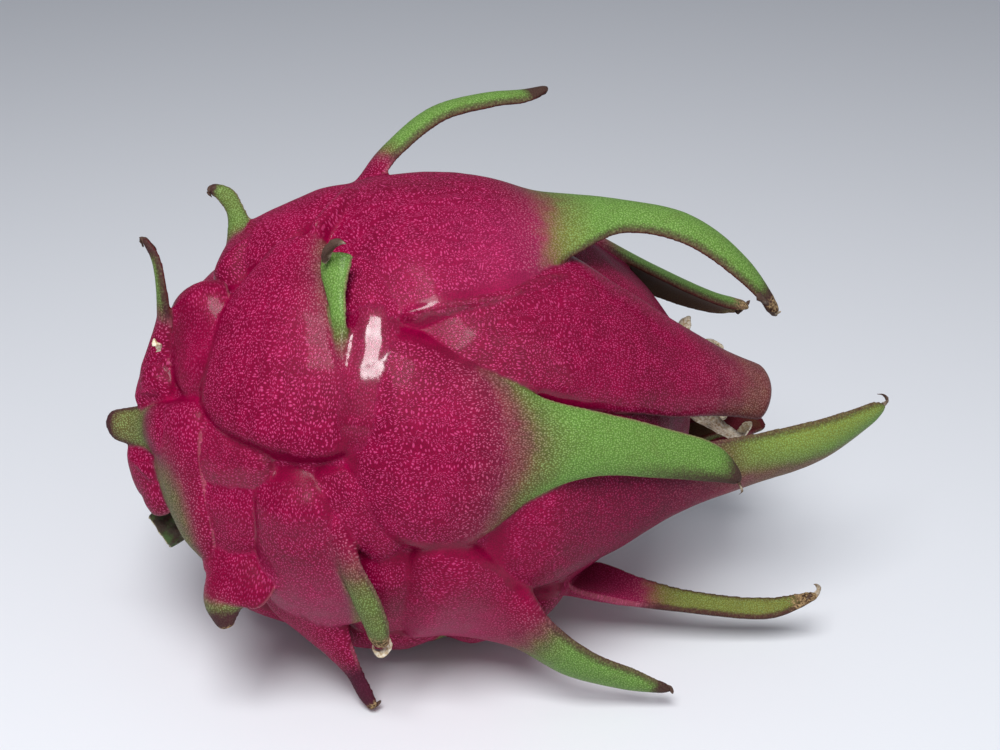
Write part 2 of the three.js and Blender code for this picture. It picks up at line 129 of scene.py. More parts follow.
# What else shapes a bract. "dome" is how high its pad swells, "wedge" over how many stations it
# swells from the root, "roundness" how round the swell is across, where a lower one is squarer,
# "rib" how thick the middle of its blade is, and "lean" the degrees that it is turned about its own
# line at each station.
#
# What its skin does, where places along it are counts of stations from its root. "green" is where
# the green begins and is full, "lead" how far ahead the edges turn green, and "depth" how green it
# gets. "band" says how far across it the green reaches at some stations, from the right edge (-1) to
# the left (1), or from the left edge with a "band_side" of -1. "band_width" is how gradually the
# green ends there, and "band_depth" how much of it is gone beyond. "dark" is where the purple tip
# begins and is full, "dry" the same for the withered tip, and "rim" how purple the edges are.
# "shade" is how dusky it is at some stations: painted shade on the prow and the jowl, and the dark
# mottling of the heart. "sun" is how pale it is at some stations: painted sheen of
# reflected light on lower parts of some bracts, and on the blades a yellower green that is partly
# painted light. Each is all across, or mostly on the left with a "shade_side" or
# "sun_side" of 1 and on the right with one of -1. "dots" is how strongly the dots
# show, "gloss" how glossy the wax is, and "inner" how red the blade's under face is.
FRONT_BRACTS = [
    {"name": "brow", "dome": 5.8, "wedge": 1.1, "roundness": 0.45, "stations": [
        [-21.5, 72, RIND, 15, 18], [-6, 76, RIND, 24, 21], [10, 79, RIND, 22, 19],
        [24, 80, 42.5, 13, 11], [37, 80, 42, 6, 5], [50, 76, 39.5, 5.2, 4.6],
        [60, 67, 33.5, 4.2, 3.8], [67.5, 55, 26, 1.6, 1.6]],
     "green": (2.1, 3.7), "lead": 0.2, "dark": (6.1, 6.8), "dry": (6.5, 6.9), "rim": 0.8,
     "sun": [(0.4, 0), (1.2, 0.15), (2.2, 0.45), (3.1, 0.45), (3.6, 0)], "sun_side": -1},
    {"name": "heart", "dome": 4.8, "roundness": 0.6, "stations": [
        [-20, 21, RIND, 13, 12], [-10, 21, RIND, 20, 18.5], [2, 20, RIND, 14, 19],
        [13, 18, 44.6, 8.6, 10.2], [24, 15, 43.2, 6.8, 5], [37, 9.5, 39.5, 5.4, 4],
        [48, 2.5, 36.5, 4.2, 2.8], [54.5, -5, 35, 1.2, 1]],
     "green": (1.7, 4.0), "lead": 0.5, "dark": (5.6, 7.0), "dry": (6.85, 7.0), "rim": 0.35,
     "shade": [(4.1, 0), (4.8, 0.42), (5.6, 0.62), (6.3, 0.75), (7, 0.8)], "shade_side": -1},
    {"name": "shoulder", "dome": 3.2, "wedge": 1.4, "roundness": 0.6, "stations": [
        [-8, 49, RIND, 6, 4], [5, 46, RIND, 17, 9], [20, 47, RIND, 18, 15],
        [34, 44, 34, 12.5, 13.5], [46, 38, 26.5, 9, 11], [57, 29, 20, 6.6, 7.6],
        [67, 16, 16.5, 5.5, 6]],
     "green": (3.9, 5.8), "lead": 0.4, "depth": 0.45, "dark": (5.8, 6.4), "rim": 0.6,
     "gloss": 0.5, "dots": 0.57},
    {"name": "prow", "dome": 3.4, "wedge": 1.2, "stations": [
        [4, -8, RIND, 8, 10], [14, -8, RIND, 15, 15], [27, -8, 39, 13, 12], [42, -5, 35, 8.5, 8],
        [58, -6, 30, 6.3, 6], [75, -7, 25, 5.2, 5], [91, -1, 18, 2, 2]],
     "green": (2.3, 4.6), "lead": 0.1, "dark": (5.9, 6.3), "rim": 0.8,
     "band": [(2, 0.6), (3.5, 0.05), (4.3, -0.1), (5.2, 0.4), (6, 0.7)], "band_side": -1,
     "band_width": 0.45, "band_depth": 0.48, "dots": 0.54,
     "shade": [(0.6, 0), (1.5, 0.36), (2.4, 0.5), (3.4, 0.45), (4.2, 0)],
     "sun": [(3.4, 0), (4.6, 1)], "sun_side": 1},
    {"name": "hood", "dome": 3.6, "stations": [
        [8, 124, RIND, 10, 10], [21, 122, RIND, 13, 12], [33, 118, 33, 10, 10],
        [44, 121, 26.5, 8.5, 9], [55, 129, 21, 8, 8], [65, 137, 17, 6, 6],
        [72, 140, 15.5, 2.5, 2.5]],
     "green": (2.0, 3.0), "dark": (4.9, 6.2), "dry": (4.8, 6.0), "rim": 0.8},
    {"name": "crest", "roundness": 0.55, "stations": [
        [-37, 90, RIND, 9, 7], [-27, 94, RIND, 11, 10], [-16, 100, RIND, 6, 7],
        [-9, 106, 45, 3.8, 3.8], [-3, 111, 51, 3.4, 3.4], [7, 114, 58, 3.8, 3.8],
        [18, 116, 60.5, 3.6, 3.6], [26, 117, 61, 3, 3], [32, 118, 62.5, 0.8, 0.8]],
     "green": (3.4, 4.3), "dark": (6.7, 7.4), "rim": 0.8},
    {"name": "cheek", "wedge": 0.35, "roundness": 0.5, "stations": [
        [-33.3, 20, RIND, 12, 12], [-31, 32, RIND, 15, 16], [-29.3, 43, RIND, 15, 15.5],
        [-27.8, 54.5, RIND, 13.5, 13], [-26, 64, RIND, 11.5, 10.5], [-23.8, 73, RIND, 8, 7.5],
        [-22.4, 80.5, RIND, 4.5, 4.5]],
     "green": (1.0, 3.6), "band": [(1, -0.85), (2.2, -0.7), (3, -0.6), (5, -0.56), (6, -0.75)],
     "band_width": 0.4, "depth": 0.54, "rim": 0, "dots": 0.62},
    {"name": "cheek_blade", "dome": 4.2, "wedge": 1.4, "rib": 0.8, "stations": [
        [-18.6, 29.5, RIND, 0.7, 0.7], [-17.8, 39, RIND, 1.1, 1], [-18.5, 48.8, 44.7, 1.7, 1.3],
        [-18.5, 56, 46.2, 2.4, 1.8], [-18.4, 61, 47.7, 3.2, 2.9], [-18, 64, 49.3, 2.6, 3.3]],
     "lean": [0, 6, 14, 18, 18, 12],
     "green": (0.9, 2.4), "dark": (4.6, 5.2), "rim": 0.4, "dots": 0.5},
    {"name": "jowl", "roundness": 0.6, "stations": [
        [-28.8, 17, RIND, 4, 7], [-28.4, 5, RIND, 7, 7.5], [-27.9, -8, RIND, 9, 8.5],
        [-26.3, -21, RIND, 10.5, 11], [-23.5, -37, RIND, 9, 9]],
     "green": (1.0, 2.6), "band": [(1, -0.8), (4, -0.62)], "band_side": -1, "depth": 0.6,
     "rim": 0, "dots": 0.55, "gloss": 0.3,
     "shade": [(0.4, 0), (1.2, 0.32), (2, 0.3), (3, 0)], "sun": [(1.8, 0), (3, 0.4), (4, 0.4)]},
    {"name": "jowl_blade", "dome": 3.6, "wedge": 1.3, "stations": [
        [-23.7, 11, RIND, 1, 1.2], [-21.5, 2, RIND, 1.5, 1.8], [-20.5, -6.6, 44.2, 2, 2.4],
        [-18.4, -14.8, 46.1, 2.6, 2.9], [-16.6, -22.1, 48.1, 2.4, 2.7], [-15.5, -30, 49.4, 1.6, 1.8]],
     "lean": [0, -4, -9, -10, -6, 0],
     "green": (0.9, 3.1), "depth": 0.76, "dry": (4.1, 4.9), "rim": 0.6},
    {"name": "heel", "stations": [
        [-33, -24, RIND, 8, 8], [-28, -35, RIND, 8, 8.5], [-23, -43, 45.5, 4, 4.5],
        [-20, -48, 50, 2.2, 2.4], [-18, -50.5, 54.5, 1.9, 1.9], [-16.5, -51, 57, 1.1, 1.1]],
     "green": (2.0, 4.6), "depth": 0.4, "dark": (1.8, 3.6), "dry": (4.1, 5.0), "rim": 0.8},
    {"name": "spur", "dome": 3, "stations": [
        [-38.9, -8, RIND, 6, 6], [-40, -15, RIND, 8, 7], [-41, -20, 34.8, 9, 6],
        [-43, -25, 38, 5.5, 4.5], [-43, -28, 40.3, 3, 3], [-42.5, -30, 42, 1.5, 1.5]],
     "green": (2.5, 3.4), "depth": 0.75, "dark": (2.9, 4.2), "dry": (4.5, 5.0), "rim": 0.8,
     "dots": 0.5},
    {"name": "collar", "stations": [
        [-45.5, 44, RIND, 7, 7], [-48, 31, 25, 6.5, 8.5], [-48.5, 10, 24, 6.5, 8.5],
        [-46.5, -11, 27.5, 5, 6], [-44.3, -22, 30.5, 1.8, 2]],
     "green": (0.9, 2.2), "band": [(0.8, -0.6), (1.5, 0.25), (2.2, 0.5), (3, 0.4), (4, 0.1)],
     "band_width": 0.6, "depth": 0.62, "rim": 0.4, "dots": 0.6},
    {"name": "fin", "stations": [
        [-42, 30, RIND, 8, 5], [-48, 34, RIND, 8, 4], [-54, 40, 14.5, 5.5, 3],
        [-61, 47, 10, 2.8, 2.4]],
     "green": (1.0, 2.0), "depth": 0.72, "dark": (2.4, 3.0), "rim": 0.9},
    {"name": "horn", "stations": [
        [-48.9, 43, RIND, 3, 3.5], [-49.3, 57, RIND, 3.5, 4], [-49, 68, RIND, 3.2, 3.6],
        [-48.4, 74, 29.5, 2.3, 2.5], [-48.2, 77, 35.5, 1.8, 1.8], [-48.7, 82, 39.5, 1.5, 1.5],
        [-50.4, 85, 42.5, 0.8, 0.8]],
     "green": (2.7, 3.6), "depth": 0.85, "dark": (4.6, 5.5), "rim": 1},
    {"name": "ear", "stations": [
        [-29, 82, RIND, 8, 6], [-31.5, 90, RIND, 8.5, 6.5], [-33, 98, 38, 3.4, 3.4],
        [-33.5, 105, 42, 1.9, 1.9], [-35, 109, 45, 1.8, 1.8], [-38, 110.5, 46.8, 0.9, 0.9]],
     "green": (1.5, 2.4), "depth": 0.85, "dark": (4.2, 4.9), "rim": 0.5},
    {"name": "skid", "roundness": 0.6, "stations": [
        [-13, -18, RIND, 10, 13], [-4, -20, RIND, 12.5, 20], [6, -26, RIND, 6.5, 17],
        [14, -31.5, 49.5, 3.4, 9.4], [22, -37, 55, 3, 6.6], [31, -40.5, 59, 2.8, 3.4],
        [39, -41, 62, 0.9, 0.9]],
     "green": (2.3, 3.8), "dark": (5.2, 5.9), "rim": 0.8, "dots": 0.54,
     "sun": [(0.3, 0), (1, 0.5), (2.2, 0.5), (3, 0)], "sun_side": -1},
    {"name": "keel", "stations": [
        [2, -42, RIND, 9, 9], [13, -48, RIND, 12, 12], [22, -53, 38.6, 7, 9.5],
        [30, -52, 40.2, 4, 9.6], [38, -52, 42.7, 2.2, 5.4], [50, -51, 46.1, 1.5, 3.6],
        [64, -50, 48.9, 1.4, 3.4], [73.5, -44, 47, 1, 1.2]],
     "lean": [0, 0, -12, -30, -48, -58, -58, -50],
     "green": (3.5, 4.9), "depth": 0.8, "dry": (6.1, 6.9), "rim": 1, "inner": 0.15,
     "sun": [(2, 0), (3, 0.5), (4, 0.5), (5, 0.8)]},
    {"name": "lining", "stations": [
        [38, -100, RIND, 7, 7], [48, -103, 21, 7, 7], [58, -105, 17, 6.5, 6.5],
        [68, -106, 15, 5, 5], [75, -106, 15, 2, 2]],
     "green": (2.6, 4.0), "dark": (3.4, 4.0), "rim": 0.8},
    {"name": "lobe", "stations": [
        [-51, 25, RIND, 6, 6], [-53, 5, RIND, 7, 7], [-53.5, -12, 16, 6, 6],
        [-52.5, -24, 19, 3, 3]],
     "green": (2.4, 3.0), "depth": 0.3, "rim": 0.5},
    {"name": "button", "stations": [
        [-49, 44, RIND, 4, 5], [-50.5, 56, RIND, 4, 5], [-50.5, 67, 21.5, 3.5, 4],
        [-50, 74, 22, 2, 2]],
     "green": (2.4, 3.0), "depth": 0.2, "rim": 0.5, "dots": 0.7},
    {"name": "stud", "dome": 3, "wedge": 1.3, "stations": [
        [-42.4, 37, RIND, 4, 3.5], [-42, 50, RIND, 7, 5], [-41.8, 61, RIND, 8, 6],
        [-42, 71, 33.5, 7, 6], [-41.9, 79, 33.5, 6, 5.2]],
     "lean": [0, 0, 0, -20, -26],
     "green": (3.4, 4.2), "depth": 0.2, "rim": 0, "dots": 0.45},
]

# Low pads without a blade, which fill the rind between the bracts, given by the same stations
PLAIN_PADS = [
    {"name": "strip", "dome": 4, "stations": [
        [-18, 17, RIND, 5, 4], [-16, 28, RIND, 6, 4.5], [-14.2, 37, RIND, 6.5, 5],
        [-12.5, 46, RIND, 6.5, 5], [-12, 54, RIND, 5, 4]], "dots": 0.45, "gloss": 1},
    {"name": "ribbon", "dome": 2.4, "wedge": 1.5, "stations": [
        [-46.6, 40, RIND, 4.5, 4], [-43.5, 26, RIND, 6, 5], [-38.8, 17.5, RIND, 4.5, 5],
        [-31.6, 17, RIND, 3, 3]], "dots": 0.5, "gloss": 0.5},
    {"name": "flap", "dome": 3, "wedge": 1.3, "stations": [
        [-37.9, 21, RIND, 4.5, 6], [-38.4, 5, RIND, 5.5, 7.5], [-38.9, -7, RIND, 5.5, 6],
        [-39, -18, RIND, 4, 4]]},
    {"name": "apron", "dome": 2.6, "stations": [
        [-12.9, -5, RIND, 4, 4], [-14, -16.4, RIND, 5, 5], [-15, -30, RIND, 6, 6],
        [-14, -44, RIND, 6, 6]]},
    {"name": "saddle", "dome": 3.6, "wedge": 0.6, "stations": [
        [-13, 72, RIND, 4.5, 6], [-12.8, 63, RIND, 5, 7], [-11.6, 55, RIND, 5, 7],
        [-9.5, 48, RIND, 4, 5]], "dots": 0.8},
    {"name": "fold", "dome": 5.9, "wedge": 0.8, "stations": [
        [-21, 75, RIND, 1.3, 1.5], [-18.2, 79.5, RIND, 1.9, 1.8], [-14.6, 85.4, RIND, 2.2, 2],
        [-10.8, 93.5, RIND, 2.4, 2.2]], "dots": 0.6, "gloss": 0.5},
    {"name": "lip", "dome": 3.7, "wedge": 0.7, "stations": [
        [-10.4, 49, RIND, 0.8, 1], [-5, 50.6, RIND, 1, 1.5], [1, 51.2, RIND, 1, 1.6],
        [9, 52.6, RIND, 1, 1.4], [17, 56.5, RIND, 0.8, 1], [23, 60.5, RIND, 0.6, 0.6]],
     "dots": 0.5, "gloss": 0.8},
    {"name": "gutter", "dome": 1.9, "stations": [
        [-23.8, 17, RIND, 4, 4], [-21.3, 9, RIND, 6, 5], [-17.2, 1.3, RIND, 7, 5],
        [-11.6, -6, RIND, 5, 5]]},
]
# Their green would begin past their ends, so they have none
PLAIN_FINISH = {"green": (8, 9), "rim": 0, "dots": 0.6}

# Bracts of the far side and underside: [along, degrees around, blade length, half width, rise]
FAR_BRACTS = [
    [4, 156, 36, 18, 7], [-4, 199, 34, 18, 11], [8, 243, 30, 16, 3], [5, 277, 16, 18, 0],
    [24, 181, 36, 14, 3], [26, 223, 42, 14, 8], [30, 268, 34, 13, 3], [10, 302, 6, 12, 0],
    [-20, 134, 19, 16, 4], [-22, 177, 26, 17, 10], [-20, 222, 24, 17, 5], [-16, 258, 18, 15, 0],
    [-38, 162, 12, 11, 1], [-38, 203, 13, 14, 7], [-36, 246, 14, 14, 2], [-33, 284, 14, 14, 0],
    [-12, 301, 12, 13, 0], [-40, 176, 8, 10, 3], [34, 158, 19, 10, 0],
]
# The stations of each: its pad's as [offset along, share of the width], and its blade's as [share
# of the length, share of the width]
FAR_PAD = [[-14, 0.65], [-5, 1], [4, 0.85]]
FAR_BLADE_START = 4
FAR_TAPER = [[0.25, 0.5], [0.5, 0.34], [0.78, 0.24], [1, 0.07]]
FAR_BLADE_CLEARANCE = 1.5
FAR_LEAST_OUT = 10
FAR_RISE_POWER = 1.3
FAR_SWERVE = 6
FAR_FINISH = {"green": (2.9, 4.2), "lead": 0.2, "dark": (5.2, 5.9), "rim": 0.8}

# Stem stub, cut off short, on the underside of the stem end
STUB_CENTRE = [-50.5, -54]
STUB_RADIUS = 4
STUB_LENGTH = 8
STUB_SUNK = 4.5
STUB_RIBS = 6
STUB_RIB_DEPTH = 0.06
STUB_RIB_TWIST = 1.5
STUB_SIDES = 72
STUB_ROWS = 40
# [share of the length, share of the radius] from its root to the middle of its cut face
STUB_PROFILE = [
    (0, 0), (0, 0.9), (0.1, 0.97), (0.35, 0.95), (0.6, 0.93), (0.85, 0.95), (0.96, 0.93),
    (1, 0.85), (0.97, 0.7), (0.9, 0.4), (0.92, 0)]
# The point of the profile after which it is the cut face
STUB_CUT_FROM = 6.6

# Dried flower in the crown cup: a plug, and withered strips that spread from it
FLOWER_PLUG_RADIUS = 6.5
PLUG_SIDES = 48
PLUG_BROWNING = 0.9
STRIP_CURLS = [-18, 22]
STRIP_ROWS = 60
STRIP_SIDES = 24
STRIP_RIB = 0.15
STRIP_ROOT_BROWNING = 0.5
STRIP_TIP_PALING = 0.45
STRIP_EDGE_BROWNING = 0.3
FLOWER_VOXEL = 0.28
# [degrees around, reach, spread, half width] of each strip
FLOWER_STRIPS = [
    [-48, 19, 13, 3.4], [-12, 18, 11, 3], [30, 10, 6.5, 2.4], [92, 6.5, 12.5, 2.6],
    [160, 14, 8, 2.8], [222, 16, 9, 3], [272, 17, 11, 3.2],
]

# Withered ends of the bracts, and a scar, as thin twisted strands
STRAND_ROWS = 24
STRAND_SIDES = 12
STRAND_TWIST = 5
STRAND_FLATNESS = 0.35
STRAND_THINNING = 0.45
STRAND_SWELL_AT = 0.3
STRAND_UPRIGHT = [0.31, 0.17, 0.94]
# [name, radius, browning, points along it as [along, degrees around, distance out]]
WITHERED_TIPS = [
    ["brow_tip", 0.75, 0.8, [[61.3, 57, 32.2], [63.7, 57, 29.4], [65.8, 57, 26.2],
                             [67.6, 57, 24], [68.4, 57, 25]]],
    ["heart_hair", 0.3, 0.7, [[53.7, -5, 34], [53.7, -5, 36.2], [53.4, -5, 38.1],
                              [52.4, -5, 39.1]]],
    ["prow_hair", 0.4, 0.9, [[88.4, -1, 19], [90.6, -1, 17.4], [92.3, -1, 15.7],
                             [92.4, -1, 13.6], [91.3, -1, 12.9]]],
    ["keel_hook", 0.6, 0.7, [[70.8, -45, 47.7], [72.6, -45, 47.1], [73.9, -45, 46],
                             [73.7, -45, 45], [73, -45, 44.7]]],
    ["crest_tip", 0.6, 1.0, [[27.8, 118, 60.8], [29.8, 118, 61.1], [31.1, 118, 61.8],
                             [31.6, 118, 62.6]]],
    ["jowl_curl", 0.7, 0.35, [[-14.6, -32, 46.6], [-14.1, -32, 48.6], [-15.4, -32, 50],
                              [-16.6, -32, 49.4], [-16.8, -32, 47.9]]],
    ["cheek_curl", 0.8, 0.75, [[-19.9, 62, 48.2], [-19.5, 62, 51.6], [-18.5, 62, 53.4],
                               [-17.3, 62, 53.8], [-16.3, 62, 53.1]]],
    ["horn_tip", 0.7, 1.0, [[-48.9, 85, 39.2], [-49.5, 85, 41.3], [-50.8, 85, 42.2],
                            [-50.6, 85, 40.7]]],
    ["ear_tip", 0.65, 1.0, [[-35.6, 110, 44.8], [-37, 110, 46.5], [-38, 110, 45.8],
                            [-37.5, 110, 44.6]]],
    ["skid_tip", 0.6, 1.0, [[36, -41, 60.3], [37.7, -41, 60.7], [38.9, -41, 61.7],
                            [39.1, -41, 62.6]]],
    ["heel_tip", 0.7, 0.9, [[-18.5, -51, 53.2], [-17.6, -51, 55.2], [-16.2, -51, 56.2],
                            [-15.2, -51, 55.6]]],
    ["spur_crumb", 0.6, 0.8, [[-43.8, -29, 38.8], [-43.2, -29, 40.9], [-41.9, -29, 41.5],
                              [-40.7, -29, 40.1]]],
    ["hood_tip", 0.6, 1.0, [[68.9, 140, 14.6], [71.1, 140, 15.5], [72.8, 140, 17]]],
    ["scar", 0.6, 0.1, [[-50.5, 60, 31.8], [-49.7, 60, 31.1], [-49.3, 60, 29.4],
                        [-50.1, 60, 28.6]]],
]


def screen_colour(red, green, blue):
    """A colour given as 0 to 255 on a screen, in the linear values that Blender works in."""
    shares = [part / 255 for part in (red, green, blue)]
    return tuple(s / 12.92 if s <= 0.04045 else ((s + 0.055) / 1.055) ** 2.4 for s in shares)


# ---- Shape of the fruit ----

def rind_radius(along):
    """How far out from the axis the rind is."""
    share = np.clip(np.asarray(along, float) / BODY_HALF_LENGTH, -1, 1)
    return BODY_RADIUS * (1 - CROWN_TAPER * np.maximum(share, 0) ** 2) * np.sqrt(1 - share**2)


def place(along, around, out):
    """A point given along the fruit's axis, in degrees around it and out from it."""
    angle = np.radians(around)
    return np.stack([along, -out * np.cos(angle), AXIS_HEIGHT + out * np.sin(angle)], axis=-1)


def rind_normal(along, around):
    """The way straight out from the rind."""
    angle = math.radians(around)
    slope = along / BODY_HALF_LENGTH**2
    radial = max(float(rind_radius(along)), 1) / BODY_RADIUS**2
    return unit(np.array([slope, -radial * math.cos(angle), radial * math.sin(angle)]))


def unit(vectors):
    lengths = np.linalg.norm(vectors, axis=-1, keepdims=True)
    return vectors / np.maximum(lengths, 1e-12)


def across_to(vectors, axis):
    """The part of each vector that is square to an axis, at unit length."""
    return unit(vectors - axis * np.sum(vectors * axis, axis=-1, keepdims=True))


def turned(vector, axis, degrees):
    """A vector that is square to an axis, turned about it."""
    angle = math.radians(degrees)
    return vector * math.cos(angle) + np.cross(axis, vector) * math.sin(angle)


def smoothstep(low, high, values):
    """0 below low and 1 above high, with a smooth change between them."""
    share = np.clip((np.asarray(values, float) - low) / (high - low), 0, 1)
    return share * share * (3 - 2 * share)


def smooth_through(values, shares):
    """A smooth curve through rows of values, read at shares of its length."""
    values = np.asarray(values, float)
    padded = np.vstack([2 * values[0] - values[1], values, 2 * values[-1] - values[-2]])
    last = len(values) - 1
    span = np.minimum((shares * last).astype(int), last - 1)
    weight = (shares * last - span)[:, None]
    before, start, end, after = (padded[span + step] for step in range(4))
    leaving = (end - before) / 2
    arriving = (after - start) / 2
    square = 3 * (end - start) - 2 * leaving - arriving
    cube = 2 * (start - end) + leaving + arriving
    return start + leaving * weight + square * weight**2 + cube * weight**3


def station_normals(points, stations, lean):
    """The rind's normal where a bract lies on it, carried on along the blade, then leaned over."""
    carried = None
    normals = []
    for i, (along, around, out, _, _) in enumerate(stations):
        after = points[min(i + 1, len(points) - 1)]
        tangent = unit(after - points[max(i - 1, 0)])
        if out is RIND or carried is None:
            carried = rind_normal(along, around)
        carried = across_to(carried, tangent)
        normals.append(turned(carried, tangent, -lean[i]))
    return np.array(normals)


def round_turn(sides):
    """Even steps of one full turn, in radians."""
    return 2 * np.pi * np.arange(sides) / sides


def bract_line(stations, lean, t):
    """The middle line of a bract at shares of its length, and the ways up and sideways there."""
    outs = [float(rind_radius(s[0])) if s[2] is RIND else s[2] for s in stations]
    points = np.array([place(s[0], s[1], out) for s, out in zip(stations, outs)])
    ahead = smooth_through(points, np.minimum(t + TANGENT_STEP, 1))
    behind = smooth_through(points, np.maximum(t - TANGENT_STEP, 0))
    tangent = unit(ahead - behind)
    normal = across_to(smooth_through(station_normals(points, stations, lean), t), tangent)
    return smooth_through(points, t), normal, np.cross(normal, tangent)


def end_fade(t, last):
    """How full a bract is at shares of its length, as its root and tip are rounded off."""
    root_rise = np.minimum(t * last / ROOT_ROUNDING, 1)
    tip_fall = np.maximum((t - 1) * last / TIP_ROUNDING + 1, 0)
    return np.sqrt(1 - (1 - root_rise) ** 2) * np.sqrt(np.maximum(1 - tip_fall**2, 0))


def thickness(bract, station, breadth, on_rind):
    """How far a bract rises above its middle line, and how far it reaches below it."""
    dome = bract.get("dome", PAD_HEIGHT)
    rib = bract.get("rib", BLADE_RIB) * np.minimum(breadth / BLADE_RIB_FULL_WIDTH, 1)
    wedge = np.minimum(station / bract.get("wedge", PAD_WEDGE), 1) ** WEDGE_POWER
    above = BLADE_EDGE + rib + (dome * wedge - BLADE_EDGE - rib) * on_rind
    under_blade = BLADE_EDGE + rib * BLADE_UNDERSIDE_SHARE
    return above, under_blade + (PAD_ROOT - under_blade) * on_rind


def bract_loft(bract, rows=BRACT_ROWS, sides=BRACT_SIDES):
    """Rings of points along a bract, and for each point its place on the bract."""
    stations = bract["stations"]
    last = len(stations) - 1
    even = np.linspace(0, 1, rows + 1)
    t = even - ROW_GATHERING * np.sin(2 * np.pi * even) / (2 * np.pi)
    centre, normal, side = bract_line(stations, bract.get("lean", [0] * len(stations)), t)
    fade = end_fade(t, last)
    width = smooth_through([[s[3], s[4], float(s[2] is RIND)] for s in stations], t)
    left = np.maximum(width[:, 0], LEAST_HALF_WIDTH) * fade
    right = np.maximum(width[:, 1], LEAST_HALF_WIDTH) * fade
    on_rind = np.clip(width[:, 2], 0, 1)
    above, below = thickness(bract, t * last, left + right, on_rind)
    broad = np.maximum(np.maximum(left, right), LEAST_BREADTH)
    hollow = BLADE_HOLLOW / broad * (1 - on_rind) + on_rind / (PAD_FALL_RADII * BODY_RADIUS)
    pad_roundness = bract.get("roundness", PAD_ROUNDNESS)
    roundness = BLADE_ROUNDNESS + (pad_roundness - BLADE_ROUNDNESS) * on_rind

    turn = -round_turn(sides)
    share = np.sign(np.cos(turn)) * np.abs(np.cos(turn)) ** SECTION_POWER
    half = np.where(share[None, :] > 0, left[:, None], right[:, None])
    across = share[None, :] * half
    swell = np.abs(np.sin(turn))[None, :] ** roundness[:, None]
    height = np.where(np.sin(turn)[None, :] > 0, (above * fade)[:, None], -(below * fade)[:, None])
    lift = height * swell
    rise = (lift - hollow[:, None] * across**2)[:, :, None]
    rings = centre[:, None, :] + side[:, None, :] * across[:, :, None] + normal[:, None, :] * rise

    flow = np.concatenate([[0], np.cumsum(np.linalg.norm(np.diff(centre, axis=0), axis=1))])
    shape = across.shape
    return rings, {
        "flow": np.broadcast_to(flow[:, None], shape),
        "across": across,
        "share": np.broadcast_to(share[None, :], shape),
        "station": np.broadcast_to((t * last)[:, None], shape),
        "half": half,
        "on_rind": np.broadcast_to(on_rind[:, None], shape),
        "under": np.broadcast_to((np.sin(turn) < 0)[None, :].astype(float), shape),
    }


def far_bract(row, index):
    """A bract of the far side: three stations on the rind, then its blade tapering to the tip."""
    along, around, length, half_width, rise = row
    stations = [
        [along + offset, around, RIND, half_width * share, half_width * share]
        for offset, share in FAR_PAD
    ]
    swerve = FAR_SWERVE if index % 2 else -FAR_SWERVE
    for t, share in FAR_TAPER:
        x = along + FAR_BLADE_START + length * t
        under = max(float(rind_radius(min(x, BODY_HALF_LENGTH - 1))), FAR_LEAST_OUT)
        out = under + FAR_BLADE_CLEARANCE + rise * t**FAR_RISE_POWER
        stations.append([x, around + swerve * t, out, half_width * share, half_width * share])
    return {"stations": stations, **FAR_FINISH}


def ring_faces(rows, sides):
    """Triangles of a closed skin over rings of points whose first and last rings are poles."""
    row = np.arange(rows)[:, None] * sides
    column = np.arange(sides)[None, :]
    following = (column + 1) % sides
    a = row + column
    b = row + following
    c = row + sides + following
    d = row + sides + column
    lower = np.stack([a, b, c], axis=-1).reshape(-1, 3)
    upper = np.stack([a, c, d], axis=-1).reshape(-1, 3)
    return np.vstack([lower, upper])


def rings_round_axis(profile, sides):
    """Rings round the fruit's axis through a profile of points, each [along, distance out]."""
    shape = (len(profile), sides)
    around = np.broadcast_to(np.degrees(round_turn(sides)), shape)
    along = np.broadcast_to(profile[:, :1], shape)
    return place(along, around, np.broadcast_to(profile[:, 1:], shape))


def gathered(shells):
    """Points, triangles and point values of closed skins, each given as [rings, values, flipped].

    A flipped one has rings that run the other way round.
    """
    points, faces, values = [], [], []
    count = 0
    for rings, point_values, flipped in shells:
        triangles = ring_faces(rings.shape[0] - 1, rings.shape[1])
        points.append(rings.reshape(-1, 3))
        faces.append((triangles[:, ::-1] if flipped else triangles) + count)
        values.append(point_values)
        count += len(points[-1])
    return np.vstack(points), np.vstack(faces), np.vstack(values)


def rind_rings():
    """The rind as rings with the cup at its crown, and how far each point is along and round it."""
    cup_angle = math.acos(-CUP_MOUTH_X / BODY_HALF_LENGTH)
    body_along = -BODY_HALF_LENGTH * np.cos(cup_angle * np.arange(RIND_ROWS + 1) / RIND_ROWS)
    body = np.stack([body_along, rind_radius(body_along)], axis=-1)
    lip = CUP_MOUTH_X + CUP_LIP
    floor = CUP_MOUTH_X - CUP_DEPTH
    # Over the lip, down the cup's wall and in across its floor
    cup = [
        [lip - 0.5, CUP_RADIUS + 6.5], [lip, CUP_RADIUS + 4.5], [lip, CUP_RADIUS + 2],
        [CUP_MOUTH_X, CUP_RADIUS], [floor + 1.5, CUP_RADIUS - 0.5], [floor, CUP_RADIUS - 2.5],
        [floor, 0],
    ]
    profile = np.vstack([body, cup])
    length = np.cumsum(np.linalg.norm(np.diff(profile, axis=0, prepend=profile[:1]), axis=1))
    flow = np.broadcast_to(length[:, None], (len(profile), RIND_SIDES))
    return rings_round_axis(profile, RIND_SIDES), flow, round_turn(RIND_SIDES) * profile[:, 1:]


# ---- What the skin does from place to place ----

# Values of each point of the skin: how far along and across its bract it is, how green it is, how
# purple it is with painted shade in places, how withered it is, how strongly its dots show, how far
# it is from a blade's edge, how much it is of a blade's under face and of the rind, how glossy it is,
# and how much painted sheen and yellowing it has
FIELD_NAMES = [
    "flow", "across", "green", "dark", "dry", "stipple", "edge", "inner", "on_rind", "gloss",
    "sun"]
PLAIN_GLOSS = 0.12
RIND_DOTS = 0.6
BAND_WIDTH = 0.16
# Added to the places of each bract, so that no two have the same pattern
BRACT_OFFSET = 61.7
# Stands for the distance from a blade's edge on the rind, which has none
EDGE_FAR_FROM = 6

